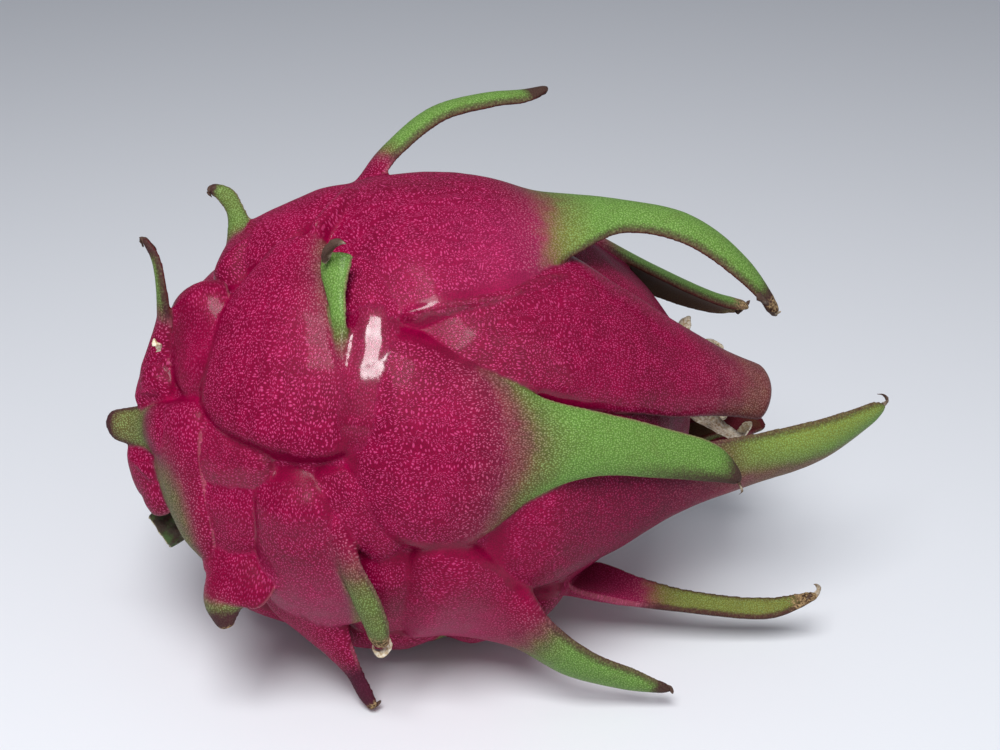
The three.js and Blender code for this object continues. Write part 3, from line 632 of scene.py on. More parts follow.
# The purple rim of a blade, faded out between these distances from its edge
RIM_REACH = (0.2, 1.6)
RIM_DARKNESS = 0.75

# Where dots and gloss come in and are full, in counts of stations from the root or in shares of
# the half width from the side, and where a tint that keeps to one side does, from -1 to 1 across
DOTS_FROM_ROOT = (0.05, 0.5)
DOTS_FROM_SIDE = (0.05, 0.15)
GLOSS_FROM_ROOT = (0.4, 1.4)
TINT_TOWARDS_SIDE = (-0.4, 0.7)


def tint(bract, key, station, share):
    """How strongly a tint shows, from its stops as [station, amount] and the side it keeps to."""
    if key not in bract:
        return 0 * station
    stops = np.array(bract[key])
    amount = np.interp(station, stops[:, 0], stops[:, 1])
    side = bract.get(key + "_side", 0)
    return amount * smoothstep(*TINT_TOWARDS_SIDE, share * side) if side else amount


def tip_share(bract, key, station):
    """How far along its change a tip is, from where the change begins and is full."""
    return smoothstep(*bract[key], station) if key in bract else 0 * station


def bract_fields(bract, fields, index):
    """Colour and texture values for each point of a bract, in the order of FIELD_NAMES."""
    station = fields["station"]
    share = fields["share"]
    on_rind = fields["on_rind"]
    reach = station + bract.get("lead", 0) * share**2
    green = smoothstep(*bract["green"], reach) * bract.get("depth", 1)
    if "band" in bract:
        stops = np.array(bract["band"])
        past = share * bract.get("band_side", 1) - np.interp(station, stops[:, 0], stops[:, 1])
        width = bract.get("band_width", BAND_WIDTH)
        green = green * (1 - bract.get("band_depth", 1) * smoothstep(-width, width, past))
    edge = (1 - np.abs(share)) * fields["half"] + EDGE_FAR_FROM * on_rind
    rim = bract["rim"] * (1 - smoothstep(*RIM_REACH, edge)) * np.minimum(green * 2, 1)
    dark = np.maximum(tip_share(bract, "dark", station), rim * RIM_DARKNESS)
    # Painted shade on the prow and the jowl, and the heart's dark mottling, darken it as the purple
    # tip does
    dark = np.maximum(dark, tint(bract, "shade", station, share))
    from_root = smoothstep(*DOTS_FROM_ROOT, station)
    from_side = smoothstep(*DOTS_FROM_SIDE, 1 - np.abs(share))
    stipple = from_root * (1 - on_rind * (1 - from_side)) * bract.get("dots", 1)
    inner = fields["under"] * (1 - on_rind) * bract.get("inner", 1)
    gloss = bract.get("gloss", PLAIN_GLOSS) * smoothstep(*GLOSS_FROM_ROOT, station)
    offset = BRACT_OFFSET * (index + 1)
    columns = [
        fields["flow"] + offset, fields["across"] + offset, green, dark,
        tip_share(bract, "dry", station), stipple, edge, inner, on_rind, gloss,
        # Painted sheen of reflected light on lower parts, and yellowing that is partly painted light
        tint(bract, "sun", station, share),
    ]
    return np.stack(columns, axis=-1).reshape(-1, len(FIELD_NAMES))


def rind_fields(flow, across):
    """The same values for the plain rind."""
    blank = np.zeros(flow.size)
    columns = [
        flow.ravel(), across.ravel(), blank, blank, blank, blank + RIND_DOTS,
        blank + EDGE_FAR_FROM, blank, blank + 1, blank + PLAIN_GLOSS, blank,
    ]
    return np.stack(columns, axis=-1)


def fruit_shells():
    """The rind and every bract as skins that still overlap, with their values."""
    rings, flow, across = rind_rings()
    shells = [[rings, rind_fields(flow, across), True]]
    bracts = FRONT_BRACTS + [{**PLAIN_FINISH, **pad} for pad in PLAIN_PADS]
    bracts += [far_bract(row, i) for i, row in enumerate(FAR_BRACTS)]
    for index, bract in enumerate(bracts):
        rings, fields = bract_loft(bract)
        shells.append([rings, bract_fields(bract, fields, index), False])
    return shells


# ---- Meshes ----

def mesh_object(name, points_mm, faces):
    """An object in the scene whose points are given in millimetres."""
    mesh = bpy.data.meshes.new(name)
    mesh.from_pydata((np.asarray(points_mm) * MM).tolist(), [], faces.tolist())
    mesh.update()
    obj = bpy.data.objects.new(name, mesh)
    bpy.context.scene.collection.objects.link(obj)
    return obj


def apply_modifiers(obj):
    """Puts the mesh that the modifiers make in place of the object's own."""
    depsgraph = bpy.context.evaluated_depsgraph_get()
    mesh = bpy.data.meshes.new_from_object(obj.evaluated_get(depsgraph))
    old = obj.data
    obj.modifiers.clear()
    obj.data = mesh
    mesh.name = old.name
    bpy.data.meshes.remove(old)


def voxel_joined(name, points, faces, voxel):
    """One closed skin made from overlapping ones."""
    obj = mesh_object(name, points, faces)
    remesh = obj.modifiers.new("join", "REMESH")
    remesh.mode = "VOXEL"
    remesh.voxel_size = voxel
    apply_modifiers(obj)
    return obj


def lighten(obj, most_triangles):
    """Brings a mesh of quads down to a number of triangles."""
    triangles = 2 * len(obj.data.polygons)
    if triangles > most_triangles:
        decimate = obj.modifiers.new("lighten", "DECIMATE")
        decimate.ratio = most_triangles / triangles
        decimate.use_collapse_triangulate = True
        apply_modifiers(obj)


def points_of(mesh):
    """The mesh's points in millimetres."""
    flat = np.empty(len(mesh.vertices) * 3, np.float32)
    mesh.vertices.foreach_get("co", flat)
    return flat.reshape(-1, 3).astype(float) / MM


def set_points(mesh, points_mm):
    mesh.vertices.foreach_set("co", (points_mm * MM).astype(np.float32).ravel())
    mesh.update()


def edges_of(mesh):
    flat = np.empty(len(mesh.edges) * 2, np.int32)
    mesh.edges.foreach_get("vertices", flat)
    return flat.reshape(-1, 2)


def normals_of(mesh):
    flat = np.empty(len(mesh.vertices) * 3, np.float32)
    mesh.vertex_normals.foreach_get("vector", flat)
    return flat.reshape(-1, 3).astype(float)


def neighbour_mean(values, edges):
    """Each vertex's mean over its neighbours, column by column."""
    count = len(values)
    starts, ends = edges.T
    degree = np.maximum(np.bincount(starts, minlength=count) + np.bincount(ends, minlength=count), 1)
    columns = []
    for column in values.T:
        total = np.bincount(starts, weights=column[ends], minlength=count)
        total += np.bincount(ends, weights=column[starts], minlength=count)
        columns.append(total / degree)
    return np.stack(columns, axis=-1)


def smoothed(values, edges, steps, weight=STEP_WEIGHT):
    """Values drawn towards their neighbours' mean, or away from it by a weight below 0."""
    for _ in range(steps):
        values = values + (neighbour_mean(values, edges) - values) * weight
    return values


def faired(points, edges):
    """Points with the steps between cells smoothed away, and thin edges left as wide as they were."""
    for _ in range(FAIRING_ROUNDS):
        points = smoothed(smoothed(points, edges, 1), edges, 1, -FAIRING_RETURN)
    return points


def keep_largest_shell(obj):
    """Drops the small sealed shells that joining can leave inside."""
    mesh = obj.data
    edges = edges_of(mesh)
    label = np.arange(len(mesh.vertices))
    while True:
        lowest = label.copy()
        np.minimum.at(lowest, edges[:, 0], label[edges[:, 1]])
        np.minimum.at(lowest, edges[:, 1], label[edges[:, 0]])
        lowest = lowest[lowest]
        if np.array_equal(lowest, label):
            break
        label = lowest
    names, sizes = np.unique(label, return_counts=True)
    if len(names) == 1:
        return
    keep = label == names[np.argmax(sizes)]
    corners = np.empty(len(mesh.loops), np.int32)
    mesh.loops.foreach_get("vertex_index", corners)
    quads = corners.reshape(-1, 4)
    quads = quads[keep[quads[:, 0]]]
    renumbered = np.cumsum(keep) - 1
    points = points_of(mesh)[keep]
    fresh = bpy.data.meshes.new(mesh.name)
    fresh.from_pydata((points * MM).tolist(), [], renumbered[quads].tolist())
    fresh.update()
    obj.data = fresh
    bpy.data.meshes.remove(mesh)


def read_fields(points, source_points, source_faces, source_values):
    """Field values at points, taken from the nearest place on the source triangles."""
    tree = BVHTree.FromPolygons(source_points.tolist(), source_faces.tolist())
    found = [tree.find_nearest(Vector(point)) for point in points]
    places = np.array([hit[0] for hit in found])
    triangles = source_faces[[hit[2] for hit in found]]
    a, b, c = (source_points[triangles[:, corner]] for corner in range(3))
    ab, ac, ap = b - a, c - a, places - a
    d00 = np.sum(ab * ab, axis=1)
    d01 = np.sum(ab * ac, axis=1)
    d11 = np.sum(ac * ac, axis=1)
    d20 = np.sum(ap * ab, axis=1)
    d21 = np.sum(ap * ac, axis=1)
    area = np.maximum(d00 * d11 - d01 * d01, 1e-12)
    v = np.clip((d11 * d20 - d01 * d21) / area, 0, 1)[:, None]
    w = np.clip((d00 * d21 - d01 * d20) / area, 0, 1)[:, None]
    va, vb, vc = (source_values[triangles[:, corner]] for corner in range(3))
    return va * (1 - v - w) + vb * v + vc * w


def bumps(points, rows):
    """Heights of smooth bumps at points, above and below 0, from rows of [size, height, seed]."""
    total = np.zeros(len(points))
    for size, height, seed in rows:
        shift = Vector([seed * step for step in SEED_STEPS])
        total += height * np.array(
            [noise.noise(Vector(point) / size + shift) for point in points])
    return total


def raise_points(mesh, points, height):
    """Moves points out along the mesh's normals, each by its own height."""
    set_points(mesh, points + normals_of(mesh) * height[:, None])


def write_attribute(mesh, name, columns):
    """Three values for each point, which a finish reads by name."""
    attribute = mesh.attributes.new(name, "FLOAT_VECTOR", "POINT")
    values = np.stack(columns, axis=-1).astype(np.float32)
    attribute.data.foreach_set("vector", values.ravel())


def write_value(mesh, name, values):
    """A single value for each point, as the first of an attribute's three."""
    write_attribute(mesh, name, [values, 0 * values, 0 * values])


def shade_smooth(mesh):
    mesh.polygons.foreach_set("use_smooth", np.ones(len(mesh.polygons), bool))
    mesh.update()


# ---- Finishes ----

class Value:
    """A number on a socket; arithmetic on it adds Math nodes."""

    def __init__(self, finish, socket):
        self.finish = finish
        self.socket = socket

    def _math(self, operation, first, second):
        return self.finish.value("ShaderNodeMath", {"operation": operation}, {0: first, 1: second})

    def __add__(self, other):
        return self._math("ADD", self, other)

    __radd__ = __add__

    def __sub__(self, other):
        return self._math("SUBTRACT", self, other)

    def __rsub__(self, other):
        return self._math("SUBTRACT", other, self)

    def __mul__(self, other):
        return self._math("MULTIPLY", self, other)

    __rmul__ = __mul__

    def __truediv__(self, other):
        return self._math("DIVIDE", self, other)

    def __rtruediv__(self, other):
        return self._math("DIVIDE", other, self)

    def least(self, other):
        return self._math("MINIMUM", self, other)

    def most(self, other):
        return self._math("MAXIMUM", self, other)

    def step(self, low, high):
        """0 below low and 1 above high, with a smooth change between them."""
        sockets = {"Value": self, "From Min": low, "From Max": high}
        return self.finish.value(
            "ShaderNodeMapRange", {"interpolation_type": "SMOOTHSTEP"}, sockets)


class Finish:
    """A material under construction."""

    def __init__(self, name):
        self.material = bpy.data.materials.new(name)
        self.material.use_nodes = True
        self.tree = self.material.node_tree
        self.tree.nodes.clear()

    def add(self, kind, settings=None, sockets=None):
        """Adds a node: its settings first, then the values or links of its sockets."""
        node = self.tree.nodes.new(kind)
        for name, value in (settings or {}).items():
            if name == "stops":
                self._set_stops(node.color_ramp, value)
            else:
                setattr(node, name, value)
        for key, value in (sockets or {}).items():
            if isinstance(value, Value):
                value = value.socket
            if isinstance(value, bpy.types.NodeSocket):
                self.tree.links.new(value, node.inputs[key])
            elif node.inputs[key].type == "RGBA":
                node.inputs[key].default_value = (*value[:3], 1)
            else:
                node.inputs[key].default_value = value
        return node

    @staticmethod
    def _set_stops(ramp, stops):
        while len(ramp.elements) < len(stops):
            ramp.elements.new(1)
        for element, (place_on_ramp, colour) in zip(ramp.elements, stops):
            element.position = place_on_ramp
            element.color = (*colour[:3], 1)

    def value(self, kind, settings=None, sockets=None):
        """Adds a node and gives its first output."""
        return Value(self, self.add(kind, settings, sockets).outputs[0])

    def split(self, socket):
        """The three numbers of a vector."""
        node = self.add("ShaderNodeSeparateXYZ", None, {"Vector": socket})
        return [Value(self, output) for output in node.outputs]

    def attribute(self, name):
        """What a piece has stored for each of its points."""
        node = self.add("ShaderNodeAttribute", {"attribute_name": name})
        return node.outputs["Vector"]

    def ramp(self, factor, stops):
        return self.add("ShaderNodeValToRGB", {"stops": stops}, {"Fac": factor}).outputs["Color"]

    def mix(self, factor, first, second):
        """Between two colours."""
        sockets = {0: factor, 6: first, 7: second}
        return self.add("ShaderNodeMix", {"data_type": "RGBA"}, sockets).outputs[2]

    def noises(self, rows):
        """Noise patterns fixed to the piece, from rows of [bumps to a millimetre, detail]."""
        place_on = self.add("ShaderNodeTexCoord").outputs["Object"]
        for to_a_millimetre, detail in rows:
            yield self.value("ShaderNodeTexNoise", None, {
                "Vector": place_on, "Scale": to_a_millimetre / MM, "Detail": detail})

    def bump(self, height, strength, depth):
        """A normal that is bent by a height, whose depth is in millimetres."""
        sockets = {"Strength": strength, "Distance": depth * MM, "Height": height}
        return self.add("ShaderNodeBump", None, sockets).outputs["Normal"]

    def surface(self, sockets):
        """Ends the material with a surface and gives it."""
        shader = self.add("ShaderNodeBsdfPrincipled", None, sockets)
        self.add("ShaderNodeOutputMaterial", None, {"Surface": shader.outputs["BSDF"]})
        return self.material


# Noises of each finish, as [bumps to a millimetre, detail]: those of the skin are its broad
# patches, its middling clouds, its fine fraying and its grain
SKIN_NOISES = [[0.07, 3.0], [0.35, 3.0], [2.2, 2.0], [4.0, 1.0]]
STEM_NOISES = [[1.6, 4.0], [0.4, 3.0]]
PAPER_NOISES = [[0.3, 4.0], [2.0, 3.0]]

# Dots of the skin: how far apart they are in millimetres, and their size in shares of that
DOT_SPACING = 0.42
DOT_SIZE = 0.25
FINE_DOT_SPACING = 0.36
FINE_DOT_SIZE = 0.3
SMALLEST_DOT = 0.8
DOT_VARIATION = 0.4
DOT_SCATTER = 0.85
# The pattern is squeezed by this across each dot's length, so that the dot is drawn out
DOT_LENGTHENING = 0.72
# Where a dot begins to fade and is gone, in shares of its reach
DOT_EDGE = (0.55, 1.3)

# Skin between crimson and leaf green, and the dots on it: [greenness, colour]
TURNING_SKIN = [
    (0.25, screen_colour(112, 26, 52)), (0.47, screen_colour(98, 66, 54)),
    (0.68, screen_colour(88, 100, 50))]
TURNING_DOTS = [
    (0.3, screen_colour(188, 108, 128)), (0.52, screen_colour(168, 132, 116)),
    (0.78, screen_colour(146, 172, 106)), (1.0, screen_colour(146, 182, 104))]
WITHERED_DARK = screen_colour(66, 44, 32)
WITHERED_PALE = screen_colour(176, 148, 108)
INNER_RED = screen_colour(92, 24, 30)
PORE_DARK = screen_colour(16, 4, 8)
CUT_DARK = screen_colour(96, 82, 52)
CUT_PALE = screen_colour(190, 180, 140)

# How much of each tint shows where it is full
MAGENTA_SHARE = 0.6
CREASE_SHARE = 0.6
CLOUD_SHARE = 0.22
SHEEN_AND_YELLOWING_SHARE = 0.75
PURPLE_AND_SHADE_SHARE = 0.9
INNER_SHARE = 0.85
RIM_SHARE = 0.3
PORE_SHARE = 0.3

# Shine of the skin and its wax
SKIN_SPECULAR = 0.09
SKIN_ROUGHNESS = 0.3
WAX_COAT = 0.7
WAX_ROUGHNESS = 0.11
WAX_IOR = 1.75


def frayed(share, noise_value, amount, full_at):
    """A share whose edge is made uneven by noise, once the share has begun."""
    return share + (noise_value - 0.5) * amount * share.step(0.02, full_at)


def dots(finish, flow, spacing, size):
    """Short dots along the flow of the skin, one to each cell of a scattered pattern."""
    stretched = finish.add(
        "ShaderNodeVectorMath", {"operation": "MULTIPLY"},
        {0: flow, 1: (DOT_LENGTHENING, 1, 1)})
    cells = finish.add(
        "ShaderNodeTexVoronoi", {"voronoi_dimensions": "2D"},
        {"Vector": stretched.outputs[0], "Scale": 1 / spacing, "Randomness": DOT_SCATTER})
    luck = finish.value("ShaderNodeSeparateColor", None, {"Color": cells.outputs["Color"]})
    distance = Value(finish, cells.outputs["Distance"])
    reach = size * (SMALLEST_DOT + DOT_VARIATION * luck)
    return 1 - (distance / reach).step(*DOT_EDGE)


def skin_spots(finish, greenness, showing, medium, grain):
    """Large dots on the red skin and fine ones on the green, some of them fainter."""
    flow = finish.attribute("flow")
    large = dots(finish, flow, DOT_SPACING, DOT_SIZE)
    small = dots(finish, flow, FINE_DOT_SPACING, FINE_DOT_SIZE)
    fine_share = greenness.step(0.15, 0.6)
    blotched = 0.78 + 0.8 * (grain - 0.5) + 0.5 * (medium - 0.5)
    return (large * (1 - fine_share) * showing + small * fine_share * 0.9) * blotched


def skin_ground(finish, settings, greenness, crease, sheen_and_yellowing_amount, broad, medium):
    """The skin between its dots: crimson, magenta and rosy patches, then olive and green, under
    painted sheen.
    """
    redness = 1 - greenness
    stops = [(0.0, settings.crimson), *TURNING_SKIN, (1.0, settings.leaf_green)]
    turning = finish.ramp(greenness, stops)
    magenta_share = broad.step(0.35, 0.7) * MAGENTA_SHARE * redness
    patched = finish.mix(magenta_share, turning, settings.magenta)
    crease_share = crease.step(0.02, 0.35) * CREASE_SHARE * redness
    creased = finish.mix(crease_share, patched, settings.crease_pink)
    cloud_share = medium.step(0.4, 0.7) * CLOUD_SHARE * redness
    clouded = finish.mix(cloud_share, creased, settings.rosy)
    # Painted sheen: reflected light as pale pink on the red skin, and on the green a yellower green
    # that is partly painted light and partly its own
    paler = finish.mix(greenness.step(0.25, 0.6), settings.sheen_pink, settings.lit_yellow_green)
    return finish.mix(sheen_and_yellowing_amount * SHEEN_AND_YELLOWING_SHARE, clouded, paler)


def skin_finish(settings):
    """Waxy stippled skin, from magenta through olive to green, with purple and withered tips, painted
    shade and painted sheen.
    """
    finish = Finish("fruit_skin")
    green, dark, dry = finish.split(finish.attribute("hue"))
    stipple, edge, inner = finish.split(finish.attribute("form"))
    crease, waxed, sheen_and_yellowing_amount = finish.split(finish.attribute("relief"))
    broad, medium, fine, grain = finish.noises(SKIN_NOISES)

    greenness = frayed(green, medium, amount=0.3, full_at=0.2).most(0).least(1)
    # Purple tips and edges, with painted shade on some bracts in the same value
    purple_and_shade = frayed(dark, fine, amount=0.5, full_at=0.3).step(0.15, 0.8)
    withered = frayed(dry, fine, amount=0.8, full_at=0.3).step(0.25, 0.75)
    bare = crease.step(0.25, 0.8) * 0.6
    showing = (stipple + (medium - 0.5) * 0.5 - bare).step(0.2, 0.7)
    spots = skin_spots(finish, greenness, showing, medium, grain)

    ground = skin_ground(finish, settings, greenness, crease, sheen_and_yellowing_amount, broad, medium)
    dot_colour = finish.ramp(greenness, [(0.0, settings.dot_pink), *TURNING_DOTS])
    spotted = finish.mix(spots, ground, dot_colour)
    # Purple tips and edges, and painted shade on some bracts in the same purple
    purpled_and_shaded = finish.mix(purple_and_shade * PURPLE_AND_SHADE_SHARE, spotted, settings.tip_purple_and_shade)
    withered_colour = finish.mix(fine.step(0.35, 0.65), WITHERED_DARK, WITHERED_PALE)
    dried = finish.mix(withered, purpled_and_shaded, withered_colour)
    inside = finish.mix(inner * INNER_SHARE * (1 - withered), dried, INNER_RED)
    rim = (1 - edge.step(0.1, 0.4)) * (1 - purple_and_shade) * RIM_SHARE
    lined = finish.mix(rim, inside, settings.rim_pink)
    colour = finish.mix(grain.step(0.35, 0.65) * PORE_SHARE, lined, PORE_DARK)

    roughness = (SKIN_ROUGHNESS + 0.1 * (medium - 0.5) + 0.25 * showing + 0.3 * withered
                 + 0.1 * purple_and_shade + 0.1 * inner)
    gloss = waxed * (1 - 0.7 * showing) * (1 - withered) * (1 - inner) * (1 - purple_and_shade)
    height = spots * 0.8 + fine * 0.4 + grain * 0.6 + withered * fine * 3
    bent = finish.bump(height, strength=0.55, depth=0.1)
    return finish.surface({
        "Base Color": colour, "Roughness": roughness, "Normal": bent,
        "Specular IOR Level": SKIN_SPECULAR, "Coat Weight": gloss * WAX_COAT,
        "Coat Roughness": WAX_ROUGHNESS, "Coat IOR": WAX_IOR})


def stem_finish(settings):
    """Green and brown stem with long fibres, and a paler cut end."""
    finish = Finish("stem_fibre")
    fibre, patch = finish.noises(STEM_NOISES)
    cut_share, _, _ = finish.split(finish.attribute("stem"))
    side = finish.mix(patch.step(0.4, 0.6), settings.stem_green, settings.stem_brown)
    cut = finish.mix(fibre.step(0.4, 0.6), CUT_DARK, CUT_PALE)
    return finish.surface({
        "Base Color": finish.mix(cut_share, side, cut), "Roughness": 0.55 + 0.3 * fibre,
        "Normal": finish.bump(fibre, strength=0.8, depth=0.3)})


def paper_finish(settings, name):
    """Withered petals: cream and tan paper, browner where the piece says so."""
    finish = Finish(name)
    patch, fibre = finish.noises(PAPER_NOISES)
    browning, _, _ = finish.split(finish.attribute("wither"))
    pale = finish.mix(fibre.step(0.35, 0.7), settings.petal_cream, settings.petal_tan)
    brown_share = (browning + (patch - 0.5) * 1.6).step(0.3, 0.8)
    return finish.surface({
        "Base Color": finish.mix(brown_share, pale, settings.petal_brown),
        "Roughness": 0.6 + 0.3 * fibre,
        "Normal": finish.bump(fibre + patch, strength=0.9, depth=0.25)})


# ---- Pieces ----

def build_fruit(settings):
    """The rind and its bracts joined in one skin, with soft creases, bumps and their colours."""
    source = gathered(fruit_shells())
    obj = voxel_joined("rind_and_bracts", *source[:2], settings.joining_voxel)
    keep_largest_shell(obj)
    edges = edges_of(obj.data)
    set_points(obj.data, faired(smoothed(points_of(obj.data), edges, 1), edges))
    lighten(obj, FRUIT_TRIANGLES)
    mesh = obj.data
    edges = edges_of(mesh)
    points = points_of(mesh)
    field = dict(zip(FIELD_NAMES, read_fields(points, *source).T))
    softer = smoothed(points, edges, settings.crease_softening)
    points += (softer - points) * smoothstep(*PAD_SOFTENING, field["on_rind"])[:, None]
    set_points(mesh, points)
    normals = normals_of(mesh)
    blurred = smoothed(points, edges, CREASE_READING_STEPS)
    crease = np.sum((blurred - points) * normals, axis=1)
    bumpy = field["on_rind"] + BLADE_BUMP_SHARE * (1 - field["on_rind"])
    height = bumps(points, SKIN_BUMPS) * bumpy + bumps(points, DRY_WRINKLES) * field["dry"]
    points += normals * height[:, None]
    points[:, 2] = np.maximum(points[:, 2], 0)
    set_points(mesh, points)
    hue = np.stack([field["green"], field["dark"], field["dry"]], axis=-1)
    hue = smoothed(hue, edges, HUE_BLUR_STEPS)
    write_attribute(mesh, "flow", [field["flow"], field["across"], 0 * crease])
    write_attribute(mesh, "hue", list(hue.T))
    write_attribute(mesh, "form", [field["stipple"], field["edge"], field["inner"]])
    write_attribute(mesh, "relief", [crease, field["gloss"], field["sun"]])
    finish_piece(obj, skin_finish(settings), "fruit")


def finish_piece(obj, material, node):
    """Shades a piece, gives it its material, hangs it on the root body and hides the part of
    model.glb that it replaces.
    """
    shade_smooth(obj.data)
    obj.data.materials.append(material)
    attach(obj, "root")
    if node:
        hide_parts(node)


def merge_poles(obj):
    """Welds the rings that have shrunk to a point, and points every face outwards."""
    shape = bmesh.new()
    shape.from_mesh(obj.data)
    bmesh.ops.remove_doubles(shape, verts=shape.verts, dist=WELD_DISTANCE)
    bmesh.ops.recalc_face_normals(shape, faces=shape.faces)
    shape.to_mesh(obj.data)
    shape.free()


def build_stub(settings):
    """A ribbed, slightly shrunken stub whose cut face has sunk in its middle."""
    along, around = STUB_CENTRE
    out = rind_normal(along, around)
    base = place(along, around, float(rind_radius(along))) - out * STUB_SUNK
    first = unit(np.cross(out, [0, 0, 1]))
    second = np.cross(out, first)
    turn = round_turn(STUB_SIDES)
    heights, reaches = zip(*STUB_PROFILE)
    shares = np.linspace(0, len(STUB_PROFILE) - 1, STUB_ROWS + 1)
    height = np.interp(shares, range(len(heights)), heights)[:, None]
    reach = np.interp(shares, range(len(reaches)), reaches)[:, None]
    ribs = 1 + STUB_RIB_DEPTH * np.cos(STUB_RIBS * turn + STUB_RIB_TWIST * height)
    radius = STUB_RADIUS * reach * ribs
    rings = (base + out * (STUB_LENGTH * height)[:, :, None]
             + first * (radius * np.cos(turn))[:, :, None]
             + second * (radius * np.sin(turn))[:, :, None])
    obj = mesh_object("cut_stem_stub", rings.reshape(-1, 3), ring_faces(STUB_ROWS, STUB_SIDES))
    cut = np.broadcast_to(shares[:, None] > STUB_CUT_FROM, radius.shape).ravel().astype(float)
    write_value(obj.data, "stem", cut)
    merge_poles(obj)
    points = points_of(obj.data)
    raise_points(obj.data, points, bumps(points, STUB_BUMPS))
    finish_piece(obj, stem_finish(settings), "stem_stub")


def flower_strip(index, floor):
    """One withered strip that rises from the plug, spreads and curls, and how brown it is."""
    around, reach, spread, width = FLOWER_STRIPS[index]
    curl = STRIP_CURLS[index % 2]
    # [along, degrees it has curled, distance out, share of the half width]
    rows = [
        [floor + 3, 0, 2, 0.7], [CUP_MOUTH_X + 1, 0, 3.6, 1],
        [CUP_MOUTH_X + reach * 0.5, curl * 0.4, spread * 0.75, 0.9],
        [CUP_MOUTH_X + reach * 0.8, curl, spread, 0.7],
        [CUP_MOUTH_X + reach, curl * 1.6, spread * 0.8, 0.3],
    ]
    stations = [
        [along, around + turn, out, width * share, width * share]
        for along, turn, out, share in rows
    ]
    rings, fields = bract_loft({"stations": stations, "rib": STRIP_RIB}, STRIP_ROWS, STRIP_SIDES)
    reached = fields["station"] / (len(stations) - 1)
    edging = STRIP_EDGE_BROWNING * np.abs(fields["share"]) ** 4
    browning = STRIP_ROOT_BROWNING - STRIP_TIP_PALING * reached + edging
    return [rings, browning.reshape(-1, 1), False]


def flower_plug(floor):
    """The low plug of the flower, which fills the crown cup."""
    brim = CUP_MOUTH_X + 1
    profile = np.array([
        [floor, 0], [floor, FLOWER_PLUG_RADIUS - 2], [floor + 2, FLOWER_PLUG_RADIUS],
        [brim, FLOWER_PLUG_RADIUS - 0.5], [brim + 1.5, FLOWER_PLUG_RADIUS - 3], [brim + 2, 0]])
    rings = rings_round_axis(profile, PLUG_SIDES)
    return [rings, np.full((rings.shape[0] * PLUG_SIDES, 1), PLUG_BROWNING), True]


def build_flower(settings):
    """The plug in the crown cup, with crumpled, torn strips of the withered flower."""
    floor = CUP_MOUTH_X - CUP_DEPTH + NODE_GAP
    strips = [flower_strip(index, floor) for index in range(len(FLOWER_STRIPS))]
    source = gathered([flower_plug(floor), *strips])
    obj = voxel_joined("withered_flower", *source[:2], FLOWER_VOXEL * MM)
    points = smoothed(points_of(obj.data), edges_of(obj.data), 1)
    wither = read_fields(points, *source)[:, 0]
    crumple = np.stack([bumps(points, [row]) for row in FLOWER_CRUMPLES], axis=-1)
    creased = FLOWER_CREST - np.abs(bumps(points, FLOWER_CREASES))
    outside = [CUP_MOUTH_X + step for step in FLOWER_CRUMPLED_FROM]
    points = points + crumple * smoothstep(*outside, points[:, 0])[:, None]
    set_points(obj.data, points)
    raise_points(obj.data, points, creased * FLOWER_CREASE_SHARE)
    write_value(obj.data, "wither", wither)
    finish_piece(obj, paper_finish(settings, "withered_petal"), "dried_flower")


def strand(path, radius):
    """Rings along a thin, flattened strand that swells a little, tapers and twists."""
    shares = np.linspace(0, 1, STRAND_ROWS + 1)
    centre = smooth_through(path, shares)
    tangent = unit(np.gradient(centre, axis=0))
    first = across_to(np.broadcast_to(STRAND_UPRIGHT, tangent.shape), tangent)
    second = np.cross(tangent, first)
    from_swell = (shares - STRAND_SWELL_AT) / (1 - STRAND_SWELL_AT)
    taper = np.sqrt(np.clip(1 - from_swell**2, 0, 1)) * (1 - STRAND_THINNING * shares)
    taper *= np.minimum(shares * STRAND_ROWS / 2, 1)
    turn = round_turn(STRAND_SIDES)
    twist = turn[None, :] + STRAND_TWIST * shares[:, None]
    flat = 1 + STRAND_FLATNESS * np.cos(2 * twist)
    width = radius * taper[:, None] * flat
    return (centre[:, None, :] + first[:, None, :] * (width * np.cos(turn))[:, :, None]
            + second[:, None, :] * (width * np.sin(turn))[:, :, None])


def build_tips(settings):
    """The twisted brown and cream ends of the bract blades."""
    shells = []
    for _, radius, brown, path in WITHERED_TIPS:
        rings = strand(np.array([place(*point) for point in path]), radius)
        shells.append([rings, np.full((rings.shape[0] * STRAND_SIDES, 1), brown), False])
    points, faces, browning = gathered(shells)
    obj = mesh_object("withered_tips", points, faces)
    write_value(obj.data, "wither", browning[:, 0])
    merge_poles(obj)
    points = points_of(obj.data)
    raise_points(obj.data, points, bumps(points, TIP_BUMPS))
    finish_piece(obj, paper_finish(settings, "withered_tip"), None)


# ---- Stage ----

# Camera, in millimetres and degrees. Azimuth 0 looks along +Y, and the aim starts at the fruit's
# middle.
CAMERA_AZIMUTH = -12.0
CAMERA_ELEVATION = 27.5
CAMERA_DISTANCE = 300
CAMERA_AIM_RIGHT = 15.2
CAMERA_AIM_UP = 6.6
SENSOR_WIDTH = 36

# [name, place, what it points at, size, power in watts]
LIGHTS = [
    ["window", (-110, -310, 580), (0, 0, 50), (270, 300), 4.35],
    ["fill", (300, -650, 420), (0, 0, 50), (700, 700), 0.8],
]
FLOOR_HALF = 1500


def add_sky(scene, colour, strength):
    world = bpy.data.worlds.new("studio")
    world.use_nodes = True
    background = world.node_tree.nodes["Background"]
    background.inputs["Color"].default_value = (*colour, 1)
    background.inputs["Strength"].default_value = strength
    scene.world = world


